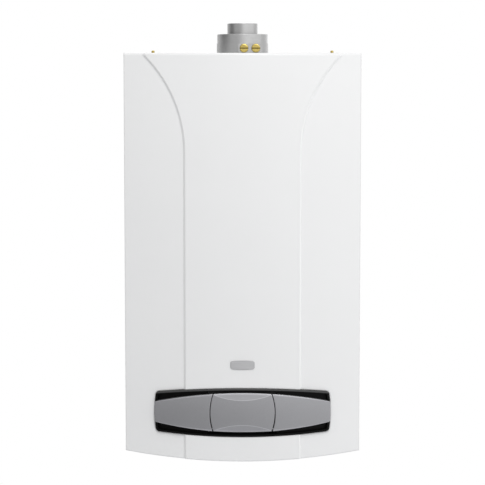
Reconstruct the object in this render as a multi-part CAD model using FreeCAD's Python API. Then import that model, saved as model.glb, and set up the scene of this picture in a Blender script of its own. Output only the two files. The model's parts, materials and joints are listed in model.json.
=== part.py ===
import FreeCAD, Part
import math
import os

V = FreeCAD.Vector
X = V(1, 0, 0)
Y = V(0, 1, 0)
Z = V(0, 0, 1)

# Wall-hung gas boiler. The wall is the plane y = 0, the front looks along -Y, and the
# origin lies midway between the two hanging holes. All sizes are in millimetres.

# Casing
CASE_WIDTH = 450.0
CASE_HEIGHT = 763.0
CORNER_DEPTH = 314.0
FRONT_BOW = 28.0
HANG_DROP = 60.0
SHEET = 1.2
FRAME_SHEET = 1.5
COVER_RETURN = 24.0
COVER_EDGE_ROUND = 4.0
HEM_SAG = 15.5
FOLD = 15.0
TRAY_RAISE = 13.0
TRAY_CLEARANCE = 0.5
FRAME_GAP = 6.0
HANG_SPACING = 240.0
HANG_HOLE_RADIUS = 5.5
SWAGE_DEPTH = 5.0
SWAGE_WIDTH = 22.0
SWAGE_INSET = 34.0
SWAGE_TOP_DROP = 120.0
SWAGE_LOW_RAISE = 70.0
SWAGE_CROSS_DROP = 470.0
SWAGE_CROSS_HALF = 125.0

# Raised shield on the front
SHIELD_HALF = 112.0
SHIELD_RISE = 3.0
SHIELD_FLARE_DROP = 186.0
SHIELD_FLARE_RADIUS = 252.0
CREASE_RUN = 3.5

# Badge plate, left bare
BADGE_WIDTH = 46.0
BADGE_HEIGHT = 17.4
BADGE_BOW = 1.0
BADGE_THICK = 1.6
BADGE_DROP = 592.0
BADGE_CORNER = 4.0
BADGE_EDGE_ROUND = 0.6

# Control panel
PANEL_DROP = 684.0
BEZEL_LENGTH = 337.0
BEZEL_MID_HEIGHT = 94.0
BEZEL_END_HEIGHT = 76.5
BEZEL_CORNER = 7.0
BEZEL_RISE = 5.0
BEZEL_WALL = 2.5
BEZEL_RIM = 4.0
BEZEL_EDGE_ROUND = 2.5
BEZEL_END_BOW = 3.0
DISH_DEPTH = 9.0
WINDOW_CLEARANCE = 0.4
LENS_MID_HEIGHT = 75.7
LENS_END_HEIGHT = 39.0
LENS_CORNER = 2.5
LENS_FIT = 0.4
LENS_RISE = 7.0
LENS_CROWN = 2.5
LENS_STOCK = 3.0
LENS_WALL = 2.2
LENS_SEAT_GAP = 0.2
SEAM_MID = 61.5
SEAM_END = 54.5
SEAM_GAP = 1.5
SCOOP_NEAR = 24.0
SCOOP_FAR = 33.5
SCOOP_HALF = 52.0
FLAP_DEPTH = 7.0
FLAP_AXIS_DROP = 31.5
FLAP_AXIS_BEHIND = 0.3
FLAP_PIN_RADIUS = 1.5
FLAP_PIN_LENGTH = 13.5
FLAP_BOSS_RADIUS = 3.2
FLAP_BOSS_LENGTH = 8.0
FLAP_LUG_LENGTH = 6.0
FLAP_SWING_ROOM = 3.0
RUNNING_FIT = 0.05
PANEL_OPENING_HALF = 66.0
PANEL_OPENING_TOP = 40.0
PANEL_OPENING_LOW = 42.0
BOX_LENGTH = 80.0
BOX_WIDTH = 380.0
BOX_HEIGHT = 122.0
BOX_WALL = 2.5
BOX_DROP = 683.0
FASCIA_SETBACK = 13.0
FASCIA_LENGTH = 11.0
FASCIA_WALL = 2.5
FASCIA_MARGIN = 2.0
DISPLAY_WIDTH = 52.0
DISPLAY_HEIGHT = 26.0
DISPLAY_RAISE = 17.0
DISPLAY_THICK = 1.6
DISPLAY_LIP = 2.0
BUTTON_RADIUS = 5.0
BUTTON_PROUD = 2.2
BUTTON_FLANGE = 1.5
BUTTON_PITCH = 21.0
BUTTON_DROP = 14.0
BUTTON_CLEARANCE = 0.3
BOARD_THICK = 1.6
BOARD_STANDOFF = 8.0
BOARD_MARGIN = 20.0
TRANSFORMER_SIDE = 45.0
TRANSFORMER_HEIGHT = 38.0
RELAY_WIDTH = 25.0
RELAY_LENGTH = 16.0
RELAY_HEIGHT = 18.0
RELAY_GAP = 15.0
IGNITER_WIDTH = 55.0
IGNITER_LENGTH = 40.0
IGNITER_HEIGHT = 30.0
CONNECTOR_LENGTH = 10.0
CONNECTOR_HEIGHT = 12.0

# Flue adaptor
FLUE_DEPTH = 131.0
FLUE_COLLAR_RADIUS = 50.0
FLUE_COLLAR_WALL = 2.5
FLUE_COLLAR_HEIGHT = 37.0
FLUE_STEP_HEIGHT = 18.5
FLUE_STEP = 1.0
FLUE_FLANGE_RADIUS = 62.0
FLUE_FLANGE_THICK = 2.5
FLUE_HOLE_GAP = 1.5
FLUE_RIM_ROUND = 1.1
TEST_TOWER_HALF = 22.5
TEST_TOWER_REACH = 63.0
TEST_TOWER_DROP = 0.5
TEST_PLUG_X = (3.0, 26.0)
TEST_PLUG_RAISE = 9.2
TEST_PLUG_RADIUS = 8.5
TEST_PLUG_HEAD = 5.0
TEST_PLUG_SHANK = 5.5
TEST_PLUG_LENGTH = 8.0
TEST_PLUG_SLOT = 2.0
EXHAUST_RADIUS = 30.0
EXHAUST_WALL = 1.5
EXHAUST_HEIGHT = 58.0
EXHAUST_CLEARANCE = 0.3

# Fasteners on the casing
TOP_SCREW_X = 173.0
TOP_SCREW_DEPTH = 230.0
TOP_SCREW_HEAD = 3.0
TOP_SCREW_HEIGHT = 4.5
TOP_SCREW_SHANK = 2.0
TOP_SCREW_LENGTH = 7.0
TRAY_SCREW_HEAD = 4.5
TRAY_SCREW_HEIGHT = 2.5
TRAY_SCREW_INSET = 26.0

# Sealed chamber
CHAMBER_HALF = 212.0
CHAMBER_FRONT = 280.0
CHAMBER_BACK = 72.0
CHAMBER_TOP_GAP = 10.0
CHAMBER_HEIGHT = 470.0
SEAL_THICK = 3.0
SEAL_WIDTH = 10.0
PIPE_HOLE_CLEARANCE = 3.0

# Burner and combustion box
COMBUSTION_HALF = 130.0
COMBUSTION_FRONT = 262.0
COMBUSTION_BACK = 92.0
COMBUSTION_HEIGHT = 140.0
COMBUSTION_SKIRT_FRONT = 278.5
INSULATION = 12.0
BURNER_RAISE = 55.0
RAMP_COUNT = 11
RAMP_PITCH = 21.0
RAMP_WIDTH = 13.0
RAMP_HEIGHT = 35.0
RAMP_FRONT = 255.0
RAMP_BACK = 100.0
RAMP_SLOTS = 8
RAMP_SLOT_WIDTH = 2.0
RAMP_SLOT_DEPTH = 6.0
VENTURI_RADIUS = 5.0
MANIFOLD_SIZE = 18.0
MANIFOLD_RAISE = 13.0
INJECTOR_RADIUS = 3.5
INJECTOR_LENGTH = 2.6
ELECTRODE_X = 60.0
ELECTRODE_RAISE = 12.0
ELECTRODE_RADIUS = 4.0
ELECTRODE_WIRE = 1.2

# Heat exchanger, hood and fan
EXCHANGER_HEIGHT = 55.0
EXCHANGER_WALL = 1.5
EXCHANGER_TUBES = 5
EXCHANGER_TUBE_RADIUS = 8.0
EXCHANGER_TUBE_PITCH = 29.0
FIN_COUNT = 18
FIN_THICK = 1.0
HEADER_REACH = 40.0
HOOD_HEIGHT = 43.0
HOOD_WALL = 1.2
FAN_OFFSET = 53.0
FAN_WIDTH = 45.0
FAN_WALL = 2.0
SCROLL_RADIUS = 48.0
SCROLL_GROWTH = 6.0
INLET_RADIUS = 30.0
INLET_DUCT_HALF = 38.0
INLET_DUCT_DEPTH = 24.0
IMPELLER_RADIUS = 42.0
IMPELLER_EYE = 33.0
IMPELLER_WIDTH = 34.0
IMPELLER_BLADES = 24
BLADE_THICK = 1.0
FAN_SHAFT_RADIUS = 4.0
FAN_MOTOR_RADIUS = 35.0
FAN_MOTOR_LENGTH = 40.0
OUTLET_SPIGOT = 12.0
AIR_SWITCH_RADIUS = 30.0
AIR_SWITCH_THICK = 26.0

# Expansion vessel
VESSEL_RADIUS = 150.0
VESSEL_THICK = 62.0
VESSEL_CENTRE_DROP = 250.0
VESSEL_RIM = 6.0

# Water and gas tails under the casing, left to right
TAIL_PITCH = 65.0
TAIL_DEPTH = 90.0
LARGE_TAIL_RADIUS = 13.2
SMALL_TAIL_RADIUS = 10.45
TAIL_WALL = 3.2
TAIL_REACH = 37.0
TAIL_COLLAR = 5.0
TAIL_CLEARANCE = 4.0
PIPE_RADIUS = 9.0
PIPE_BEND = 25.0
PIPE_CROSS_DROP = 40.0

# Hydraulic blocks, pump and plate exchanger
BLOCK_RAISE = 50.0
BLOCK_RADIUS = 28.0
BLOCK_INNER_END = 40.0
RETURN_ROOM = 35.0
PORT_RADIUS = 18.0
PORT_MARGIN = 4.0
PORT_TOP_RAISE = 90.0
PLATE_COUNT = 9
PLATE_PITCH = 5.0
PLATE_HALF_LENGTH = 95.0
PLATE_HALF_DEPTH = 37.0
PLATE_LIP = 1.5
PUMP_RADIUS = 45.0
PUMP_DEPTH = 56.0
PUMP_CAVITY = 37.0
PUMP_PORT_RADIUS = 15.0
PUMP_PORT_TOP = 100.0
PUMP_WALL = 8.0
PUMP_MOTOR_RADIUS = 42.0
PUMP_MOTOR_LENGTH = 78.0
PUMP_SHAFT_RADIUS = 5.0
PUMP_ROTOR_RADIUS = 32.0
PUMP_ROTOR_WIDTH = 14.0
PUMP_RIBS = 16
PUMP_RIB_HALF = 1.0
PUMP_VANES = 6
VENT_OFFSET = 32.0
VENT_RADIUS = 13.0
VENT_HEIGHT = 42.0
VENT_BOSS_RADIUS = 9.0
DIVERTER_X = -105.0
DIVERTER_BOSS_RADIUS = 14.0
DIVERTER_REACH = 45.0
DIVERTER_MOTOR_LENGTH = 58.0
DIVERTER_MOTOR_HALF = 26.0
DIVERTER_TRAVEL = 8.0
SPINDLE_RADIUS = 4.0
SPINDLE_HEAD_RADIUS = 9.0
SPINDLE_HEAD_LENGTH = 8.0
SAFETY_ROOM = 53.0
SAFETY_RADIUS = 12.0
SAFETY_LENGTH = 25.0
SAFETY_CAP_RADIUS = 14.0
SAFETY_CAP_LENGTH = 14.0
SAFETY_PIN_RADIUS = 3.0
FILL_X = 97.0
FILL_DEPTH = 114.0
FILL_STEM_RADIUS = 6.0
FILL_BOSS_RADIUS = 11.0
FILL_KNOB_RADIUS = 14.0
FILL_KNOB_HEIGHT = 20.0
FILL_LOBES = 6

# Gas valve
VALVE_DEPTH = 186.0
VALVE_HALF_WIDTH = 38.0
VALVE_HALF_DEPTH = 36.0
VALVE_HEIGHT = 80.0
VALVE_RAISE = 130.0
VALVE_COIL_RADIUS = 17.0
VALVE_COIL_LENGTH = 34.0

# Pressure gauge under the tray
GAUGE_X = -60.0
GAUGE_DEPTH = 190.0
GAUGE_RADIUS = 26.0
GAUGE_HEIGHT = 19.0
GAUGE_WALL = 2.5
GAUGE_PROUD = 4.0
GAUGE_FLANGE = 7.0
GLASS_THICK = 1.5
NEEDLE_LENGTH = 18.0
NEEDLE_THICK = 0.8
GAUGE_PIN_RADIUS = 1.0
TRAY_SLOTS = 14
TRAY_SLOT_PITCH = 24.0
TRAY_SLOT_WIDTH = 6.0
TRAY_SLOT_LENGTH = 36.0
TRAY_SLOT_Y = -258.0

BUTTON_NAMES = ("power", "heating_down", "heating_up", "water_down", "water_up")
TAILS = (
    (-2 * TAIL_PITCH, LARGE_TAIL_RADIUS),
    (-TAIL_PITCH, SMALL_TAIL_RADIUS),
    (0.0, LARGE_TAIL_RADIUS),
    (TAIL_PITCH, SMALL_TAIL_RADIUS),
    (2 * TAIL_PITCH, LARGE_TAIL_RADIUS),
)

CASE_TOP = HANG_DROP
CASE_LOW = CASE_TOP - CASE_HEIGHT
HALF = CASE_WIDTH / 2
BOW_RADIUS = (HALF ** 2 + FRONT_BOW ** 2) / (2 * FRONT_BOW)
BOW_CENTRE = BOW_RADIUS - CORNER_DEPTH - FRONT_BOW
COVER_BACK = COVER_RETURN - CORNER_DEPTH
PANEL_Z = CASE_TOP - PANEL_DROP
FLOOR_RISE = BEZEL_RISE - DISH_DEPTH
CROWN_RADIUS = ((LENS_MID_HEIGHT / 2) ** 2 + LENS_CROWN ** 2) / (2 * LENS_CROWN)
FASCIA_DEPTH = CORNER_DEPTH + FRONT_BOW - FASCIA_SETBACK
BOX_FRONT_DEPTH = FASCIA_DEPTH - FASCIA_LENGTH
BOX_BACK_DEPTH = BOX_FRONT_DEPTH - BOX_LENGTH
BOX_Z = CASE_TOP - BOX_DROP
TRAY_Z = CASE_LOW + TRAY_RAISE
TRAY_TOP = TRAY_Z + FRAME_SHEET
CHAMBER_TOP = CASE_TOP - CHAMBER_TOP_GAP
FLUE_HOLE_RADIUS = FLUE_COLLAR_RADIUS + FLUE_STEP + FLUE_HOLE_GAP
CHAMBER_LOW = CHAMBER_TOP - CHAMBER_HEIGHT
BURNER_LOW = CHAMBER_LOW + BURNER_RAISE
BURNER_TOP = BURNER_LOW + RAMP_HEIGHT
EXCHANGER_LOW = BURNER_TOP + COMBUSTION_HEIGHT
EXCHANGER_TOP = EXCHANGER_LOW + EXCHANGER_HEIGHT
HOOD_TOP = EXCHANGER_TOP + HOOD_HEIGHT
COMBUSTION_MID = (COMBUSTION_FRONT + COMBUSTION_BACK) / 2
FAN_Z = HOOD_TOP + SCROLL_RADIUS + 3 * SCROLL_GROWTH + FAN_WALL
FAN_FRONT = -FLUE_DEPTH - FAN_WIDTH / 2
FAN_REAR = -FLUE_DEPTH + FAN_WIDTH / 2
MANIFOLD_Z = BURNER_LOW + MANIFOLD_RAISE
MANIFOLD_BACK = -RAMP_FRONT - 1.5 - INJECTOR_LENGTH
BLOCK_Z = TRAY_TOP + BLOCK_RAISE
FLOW_BLOCK_END = HALF - SAFETY_ROOM
BLOCK_OUTER_END = HALF - RETURN_ROOM
PIPE_X = FLOW_BLOCK_END - PORT_RADIUS - PORT_MARGIN
PORT_TOP = TRAY_TOP + PORT_TOP_RAISE
PUMP_Z = PORT_TOP + PUMP_RADIUS
PIPE_CROSS_Z = CHAMBER_LOW - PIPE_CROSS_DROP
VALVE_LOW = TRAY_TOP + VALVE_RAISE
VALVE_TOP = VALVE_LOW + VALVE_HEIGHT
DIVERTER_FACE = -TAIL_DEPTH - DIVERTER_REACH


# Basic shapes
def block(x0, x1, y0, y1, z0, z1):
    return Part.makeBox(x1 - x0, y1 - y0, z1 - z0, V(x0, y0, z0))


def rod(radius, start, direction, length):
    return Part.makeCylinder(radius, length, V(*start), direction)


def ring(outer, inner, start, direction, length):
    return rod(outer, start, direction, length).cut(rod(inner, start, direction, length))


def line(a, b):
    return Part.LineSegment(V(*a), V(*b)).toShape()


def arc(a, b, c):
    return Part.Arc(V(*a), V(*b), V(*c)).toShape()


def face(*edges):
    return Part.Face(Part.Wire(list(edges)))


def plate(points):
    return Part.Face(Part.makePolygon([V(*p) for p in points + points[:1]]))


def mirrored(shape):
    return shape.mirror(V(0, 0, 0), X)


def joined(shapes):
    return shapes[0].multiFuse(shapes[1:]).removeSplitter() if len(shapes) > 1 else shapes[0]


def edges_along(shape, axis, length_over=0.0):
    found = []
    for edge in shape.Edges:
        if edge.Curve.TypeId != "Part::GeomLine" or edge.Length < length_over:
            continue
        if abs(edge.tangentAt(edge.FirstParameter).dot(axis)) > 0.999:
            found.append(edge)
    return found


def rectangle(left, right, front, rear, z):
    corners = ((left, front), (right, front), (right, rear), (left, rear), (left, front))
    return Part.makePolygon([V(x, y, z) for x, y in corners])


def rounded_block(x0, x1, y0, y1, z0, z1, radius, axis):
    solid = block(x0, x1, y0, y1, z0, z1)
    return solid.makeFillet(radius, edges_along(solid, axis))


# Bowed front surface
def bow_y(x, rise=0.0):
    return BOW_CENTRE - math.sqrt((BOW_RADIUS + rise) ** 2 - x ** 2)


def bow_slab(half, rise, back, low, high):
    left_back = (-half, back, low)
    right_back = (half, back, low)
    right_front = (half, bow_y(half, rise), low)
    middle = (0, bow_y(0, rise), low)
    left_front = (-half, bow_y(half, rise), low)
    plan = face(
        line(left_back, right_back),
        line(right_back, right_front),
        arc(right_front, middle, left_front),
        line(left_front, left_back),
    )
    return plan.extrude(Z * (high - low))


def edges_on_bow(shape, rise):
    found = []
    for edge in shape.Edges:
        middle = edge.valueAt((edge.FirstParameter + edge.LastParameter) / 2)
        points = [vertex.Point for vertex in edge.Vertexes] + [middle]
        if all(abs(point.y - bow_y(point.x, rise)) < 0.01 for point in points):
            found.append(edge)
    return found


def crown_sag(z):
    return CROWN_RADIUS - math.sqrt(CROWN_RADIUS ** 2 - z ** 2)


def crowned_slab(rise, back_rise):
    front = BOW_CENTRE - BOW_RADIUS - rise
    back = BOW_CENTRE - BOW_RADIUS - back_rise
    stock = LENS_MID_HEIGHT / 2 + LENS_STOCK
    edge = front + crown_sag(stock)
    low = PANEL_Z - stock
    high = PANEL_Z + stock
    profile = face(
        line((0, back, low), (0, back, high)),
        line((0, back, high), (0, edge, high)),
        arc((0, edge, high), (0, front, PANEL_Z), (0, edge, low)),
        line((0, edge, low), (0, back, low)),
    )
    sweep = math.degrees(math.asin((BEZEL_LENGTH / 2 + LENS_STOCK) / BOW_RADIUS))
    profile.rotate(V(0, BOW_CENTRE, 0), Z, -sweep)
    return profile.revolve(V(0, BOW_CENTRE, 0), Z, 2 * sweep)


def through(outline):
    return outline.extrude(Y * -(CORNER_DEPTH + 2 * FRONT_BOW))


# Casing shells
def cover_outline(inset):
    half = HALF - inset
    top = CASE_TOP - inset
    low = CASE_LOW + inset
    return face(
        line((-half, 0, top), (half, 0, top)),
        line((half, 0, top), (half, 0, low)),
        arc((half, 0, low), (0, 0, low - HEM_SAG), (-half, 0, low)),
        line((-half, 0, low), (-half, 0, top)),
    )


def shield_outline(inset):
    half = SHIELD_HALF - inset
    bend = CASE_TOP - SHIELD_FLARE_DROP
    radius = SHIELD_FLARE_RADIUS + inset
    low = CASE_LOW - 2 * HEM_SAG

    def flare(z):
        return half + radius - math.sqrt(radius ** 2 - (z - bend) ** 2)

    middle = bend + SHIELD_FLARE_DROP / 2
    wide = flare(CASE_TOP)
    return face(
        line((-half, 0, low), (half, 0, low)),
        line((half, 0, low), (half, 0, bend)),
        arc((half, 0, bend), (flare(middle), 0, middle), (wide, 0, CASE_TOP)),
        line((wide, 0, CASE_TOP), (-wide, 0, CASE_TOP)),
        arc((-wide, 0, CASE_TOP), (-flare(middle), 0, middle), (-half, 0, bend)),
        line((-half, 0, bend), (-half, 0, low)),
    )


def cover_form(inset, back):
    low = CASE_LOW - 2 * HEM_SAG
    outline = through(cover_outline(inset))
    base = bow_slab(HALF - inset, -inset, back, low, CASE_TOP).common(outline)
    rise = SHIELD_RISE - inset
    shield = bow_slab(HALF - inset, rise, back, low, CASE_TOP).common(outline)
    shield = shield.common(through(shield_outline(inset)))
    creases = []
    for edge in shield.Edges:
        tall = edge.BoundBox.ZLength > SHIELD_FLARE_DROP / 2
        if tall and edge.BoundBox.YMax < bow_y(HALF) - SHIELD_RISE:
            creases.append(edge)
    shield = shield.makeChamfer(CREASE_RUN, creases)
    whole = base.fuse(shield).removeSplitter()
    brow = []
    for edge in whole.Edges:
        at_top = edge.BoundBox.ZMin > CASE_TOP - inset - 0.01
        if at_top and edge.BoundBox.YMax < bow_y(HALF, -inset) + 0.01:
            brow.append(edge)
    return whole.makeFillet(COVER_EDGE_ROUND - inset, brow)


def front_cover():
    outer = cover_form(0, COVER_BACK)
    inner = cover_form(SHEET, COVER_BACK + 1)
    cover = outer.cut(inner)
    window = lens_outline(BEZEL_MID_HEIGHT, BEZEL_END_HEIGHT, BEZEL_CORNER, -WINDOW_CLEARANCE)
    return cover.cut(through(window))


def side_panel():
    outside = HALF
    inside = HALF - SHEET
    top = CASE_TOP - FRAME_SHEET
    wall = block(inside, outside, COVER_BACK, 0, CASE_LOW, CASE_TOP)
    front_lip = block(outside - FOLD, outside, COVER_BACK, COVER_BACK + SHEET, CASE_LOW, top)
    back_lip = block(outside - FRAME_GAP, outside, -SHEET, 0, CASE_LOW, top)
    return joined([wall, front_lip, back_lip])


def top_plate():
    inside = HALF - SHEET
    deck = block(-inside, inside, COVER_BACK, 0, CASE_TOP - FRAME_SHEET, CASE_TOP)
    low = CASE_TOP - FOLD
    lip = block(inside - FRAME_SHEET, inside, COVER_BACK + FOLD, -FOLD, low, CASE_TOP)
    plate_form = joined([deck, lip, mirrored(lip)])
    plate_form = plate_form.cut(rod(FLUE_HOLE_RADIUS, (0, -FLUE_DEPTH, low), Z, 2 * FOLD))
    for side in (-1, 1):
        hole = rod(TOP_SCREW_SHANK, (side * TOP_SCREW_X, -TOP_SCREW_DEPTH, low), Z, 2 * FOLD)
        plate_form = plate_form.cut(hole)
    return plate_form


def swage(left, right, low, high, depth, grow):
    return rounded_block(left - grow, right + grow, -depth, 0, low - grow, high + grow, FOLD / 2, Y)


def back_frame():
    half = HALF - FRAME_GAP - 1
    low = CASE_LOW
    high = CASE_TOP - FRAME_SHEET
    panel = block(-half, half, -FRAME_SHEET, 0, low, high)
    flange = block(half - FRAME_SHEET, half, -2 * FOLD, 0, low, high)
    frame = joined([panel, flange, mirrored(flange)])
    for side in (-1, 1):
        hole = rod(HANG_HOLE_RADIUS, (side * HANG_SPACING / 2, 1, 0), -Y, 2 * FOLD)
        frame = frame.cut(hole)
    right = HALF - SWAGE_INSET
    top = CASE_TOP - SWAGE_TOP_DROP
    foot = CASE_LOW + SWAGE_LOW_RAISE
    cross = CASE_TOP - SWAGE_CROSS_DROP
    swages = (
        (right - SWAGE_WIDTH, right, foot, top),
        (-right, SWAGE_WIDTH - right, foot, top),
        (-SWAGE_CROSS_HALF, SWAGE_CROSS_HALF, cross - SWAGE_WIDTH, cross),
    )
    for outline in swages:
        frame = frame.fuse(swage(*outline, SWAGE_DEPTH + FRAME_SHEET, FRAME_SHEET))
        frame = frame.cut(swage(*outline, SWAGE_DEPTH, 0))
    return frame.removeSplitter()


def bottom_tray():
    inside = HALF - SHEET
    front = COVER_BACK + SHEET
    deck = block(-inside, inside, front, -2 * FOLD, TRAY_Z, TRAY_Z + FRAME_SHEET)
    lip = block(inside - FRAME_SHEET, inside, front, -2 * FOLD, TRAY_Z, TRAY_Z + FOLD)
    frame_inside = HALF - FRAME_GAP - 1 - FRAME_SHEET - TRAY_CLEARANCE
    rear = block(-frame_inside, frame_inside, -2 * FOLD, -FRAME_SHEET, TRAY_Z, TRAY_Z + FRAME_SHEET)
    tray = joined([deck, rear, lip, mirrored(lip)])
    for x, radius in TAILS:
        hole = rod(radius + TAIL_CLEARANCE, (x, -TAIL_DEPTH, TRAY_Z - 1), Z, FOLD)
        tray = tray.cut(hole)
    tray = tray.cut(rod(GAUGE_RADIUS + TAIL_CLEARANCE, (GAUGE_X, -GAUGE_DEPTH, TRAY_Z - 1), Z, FOLD))
    knob_hole = rod(FILL_STEM_RADIUS + TAIL_CLEARANCE, (FILL_X, -FILL_DEPTH, TRAY_Z - 1), Z, FOLD)
    tray = tray.cut(knob_hole)
    slot_half = TRAY_SLOT_LENGTH / 2
    for step in range(TRAY_SLOTS):
        x = (step - (TRAY_SLOTS - 1) / 2) * TRAY_SLOT_PITCH
        slot = block(x - TRAY_SLOT_WIDTH / 2, x + TRAY_SLOT_WIDTH / 2, TRAY_SLOT_Y - slot_half,
                     TRAY_SLOT_Y + slot_half, TRAY_Z - 1, TRAY_Z + FOLD / 2)
        tray = tray.cut(slot)
    return tray


def tray_screws():
    screws = []
    for side in (-1, 1):
        x = side * (HALF - TRAY_SCREW_INSET)
        for y in (COVER_BACK + TRAY_SCREW_INSET, -2 * FOLD - TRAY_SCREW_INSET):
            head = rod(TRAY_SCREW_HEAD, (x, y, TRAY_Z), -Z, TRAY_SCREW_HEIGHT)
            rim = [e for e in head.Edges if e.BoundBox.ZMax < TRAY_Z - TRAY_SCREW_HEIGHT + 0.01]
            screws.append(head.makeFillet(TRAY_SCREW_HEIGHT / 2, rim))
    return Part.makeCompound(screws)


def top_screws():
    screws = []
    for side in (-1, 1):
        place = (side * TOP_SCREW_X, -TOP_SCREW_DEPTH, CASE_TOP)
        head = rod(TOP_SCREW_HEAD, place, Z, TOP_SCREW_HEIGHT)
        top_edge = [e for e in head.Edges if e.BoundBox.ZMin > CASE_TOP + TOP_SCREW_HEIGHT - 0.01]
        head = head.makeFillet(TOP_SCREW_HEIGHT / 3, top_edge)
        shank = rod(TOP_SCREW_SHANK - RUNNING_FIT, place, -Z, TOP_SCREW_LENGTH)
        screws.append(head.fuse(shank))
    return Part.makeCompound(screws)


def front_badge():
    z = CASE_TOP - BADGE_DROP
    half = BADGE_WIDTH / 2
    mid = BADGE_HEIGHT / 2
    end = mid - BADGE_BOW
    form = through(face(
        line((-half, 0, z - end), (-half, 0, z + end)),
        arc((-half, 0, z + end), (0, 0, z + mid), (half, 0, z + end)),
        line((half, 0, z + end), (half, 0, z - end)),
        arc((half, 0, z - end), (0, 0, z - mid), (-half, 0, z - end)),
    ))
    form = form.makeFillet(BADGE_CORNER, edges_along(form, Y))
    rise = SHIELD_RISE + BADGE_THICK
    skin = bow_slab(HALF, rise, 0, z - BADGE_HEIGHT, z + BADGE_HEIGHT)
    skin = skin.cut(bow_slab(HALF, SHIELD_RISE + RUNNING_FIT, 1, z - BADGE_HEIGHT, z + BADGE_HEIGHT))
    badge = form.common(skin)
    return badge.makeFillet(BADGE_EDGE_ROUND, edges_on_bow(badge, rise))


# Control panel
def lens_outline(mid_height, end_height, corner, inset):
    tip = BEZEL_LENGTH / 2 - inset
    mid = mid_height / 2 - inset
    end = end_height / 2 - inset
    half = tip - BEZEL_END_BOW * (end_height / BEZEL_END_HEIGHT) ** 2
    high = PANEL_Z + end
    low = PANEL_Z - end
    outline = face(
        arc((-half, 0, low), (-tip, 0, PANEL_Z), (-half, 0, high)),
        arc((-half, 0, high), (0, 0, PANEL_Z + mid), (half, 0, high)),
        arc((half, 0, high), (tip, 0, PANEL_Z), (half, 0, low)),
        arc((half, 0, low), (0, 0, PANEL_Z - mid), (-half, 0, low)),
    )
    solid = outline.extrude(Y)
    solid = solid.makeFillet(corner - min(inset, corner / 2), edges_along(solid, Y))
    return [f for f in solid.Faces if abs(f.CenterOfMass.y) < 0.001 and abs(f.normalAt(0, 0).y) > 0.99][0]


def bezel_outline(inset):
    return lens_outline(BEZEL_MID_HEIGHT, BEZEL_END_HEIGHT, BEZEL_CORNER, inset)


def flap_axis():
    return (0, bow_y(0) + FLAP_AXIS_BEHIND, PANEL_Z - FLAP_AXIS_DROP)


def panel_bezel():
    low = PANEL_Z - BEZEL_MID_HEIGHT
    high = PANEL_Z + BEZEL_MID_HEIGHT
    body = through(bezel_outline(0)).common(bow_slab(HALF, BEZEL_RISE, -BOX_FRONT_DEPTH, low, high))
    body = body.makeFillet(BEZEL_EDGE_ROUND, edges_on_bow(body, BEZEL_RISE))
    hollow = through(bezel_outline(BEZEL_RIM))
    wing_room = through(grey_outline(-LENS_FIT))
    dish = hollow.fuse(wing_room).cut(bow_slab(HALF, FLOOR_RISE, 1, low, high))
    pocket = hollow.common(bow_slab(HALF, FLOOR_RISE - BEZEL_WALL, 1, low, high))
    bezel = body.cut(dish).cut(pocket)
    bezel = bezel.cut(block(-PANEL_OPENING_HALF, PANEL_OPENING_HALF, -2 * CORNER_DEPTH, 0,
                            PANEL_Z - PANEL_OPENING_LOW, PANEL_Z + PANEL_OPENING_TOP))
    return bezel.removeSplitter()


def seam_outline(gap):
    mid = SEAM_MID - gap
    end = SEAM_END - gap
    high = PANEL_Z + LENS_MID_HEIGHT / 2
    low = PANEL_Z - LENS_MID_HEIGHT / 2
    top = high + LENS_STOCK
    bottom = low - LENS_STOCK
    return face(
        line((-end, 0, top), (end, 0, top)),
        line((end, 0, top), (end, 0, high)),
        arc((end, 0, high), (mid, 0, PANEL_Z), (end, 0, low)),
        line((end, 0, low), (end, 0, bottom)),
        line((end, 0, bottom), (-end, 0, bottom)),
        line((-end, 0, bottom), (-end, 0, low)),
        arc((-end, 0, low), (-mid, 0, PANEL_Z), (-end, 0, high)),
        line((-end, 0, high), (-end, 0, top)),
    )


def grey_outline(inset):
    return lens_outline(LENS_MID_HEIGHT, LENS_END_HEIGHT, LENS_CORNER, inset)


def panel_wing():
    outer = crowned_slab(LENS_RISE, FLOOR_RISE + LENS_SEAT_GAP)
    outer = outer.common(through(grey_outline(0)))
    swing = through(seam_outline(-SEAM_GAP))
    swing.translate(Z * -FLAP_SWING_ROOM)
    outer = outer.cut(through(seam_outline(-SEAM_GAP))).cut(swing)
    inner = crowned_slab(LENS_RISE - LENS_WALL, FLOOR_RISE - 1)
    inner = inner.common(through(grey_outline(LENS_WALL)))
    inner = inner.cut(through(seam_outline(-SEAM_GAP - LENS_WALL)))
    right_side = block(0, HALF, -2 * CORNER_DEPTH, 0, CASE_LOW, CASE_TOP)
    axis = flap_axis()
    boss = rod(FLAP_BOSS_RADIUS, (SEAM_END, axis[1], axis[2]), X, FLAP_BOSS_LENGTH).common(outer)
    pin_hole = rod(FLAP_PIN_RADIUS + RUNNING_FIT, (SEAM_END, axis[1], axis[2]), X, FLAP_BOSS_LENGTH)
    return outer.cut(inner).common(right_side).fuse(boss).removeSplitter().cut(pin_hole)


def finger_scoop(side, sink):
    near = bow_y(0, LENS_RISE) + crown_sag(SCOOP_NEAR)
    far = bow_y(SCOOP_HALF, LENS_RISE) + crown_sag(SCOOP_FAR)
    slope = (far - near) / (SCOOP_FAR - SCOOP_NEAR)
    edge = LENS_MID_HEIGHT / 2 + LENS_STOCK
    front = near - slope * SCOOP_NEAR
    back = near + slope * (edge - SCOOP_NEAR)
    middle = (-SEAM_MID, front + sink, PANEL_Z)
    outer = (-SEAM_MID, front + sink, PANEL_Z + side * edge)
    deep = (-SEAM_MID, back + sink, PANEL_Z + side * edge)
    return face(line(middle, outer), line(outer, deep), line(deep, middle)).extrude(X * 2 * SEAM_MID)


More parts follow.
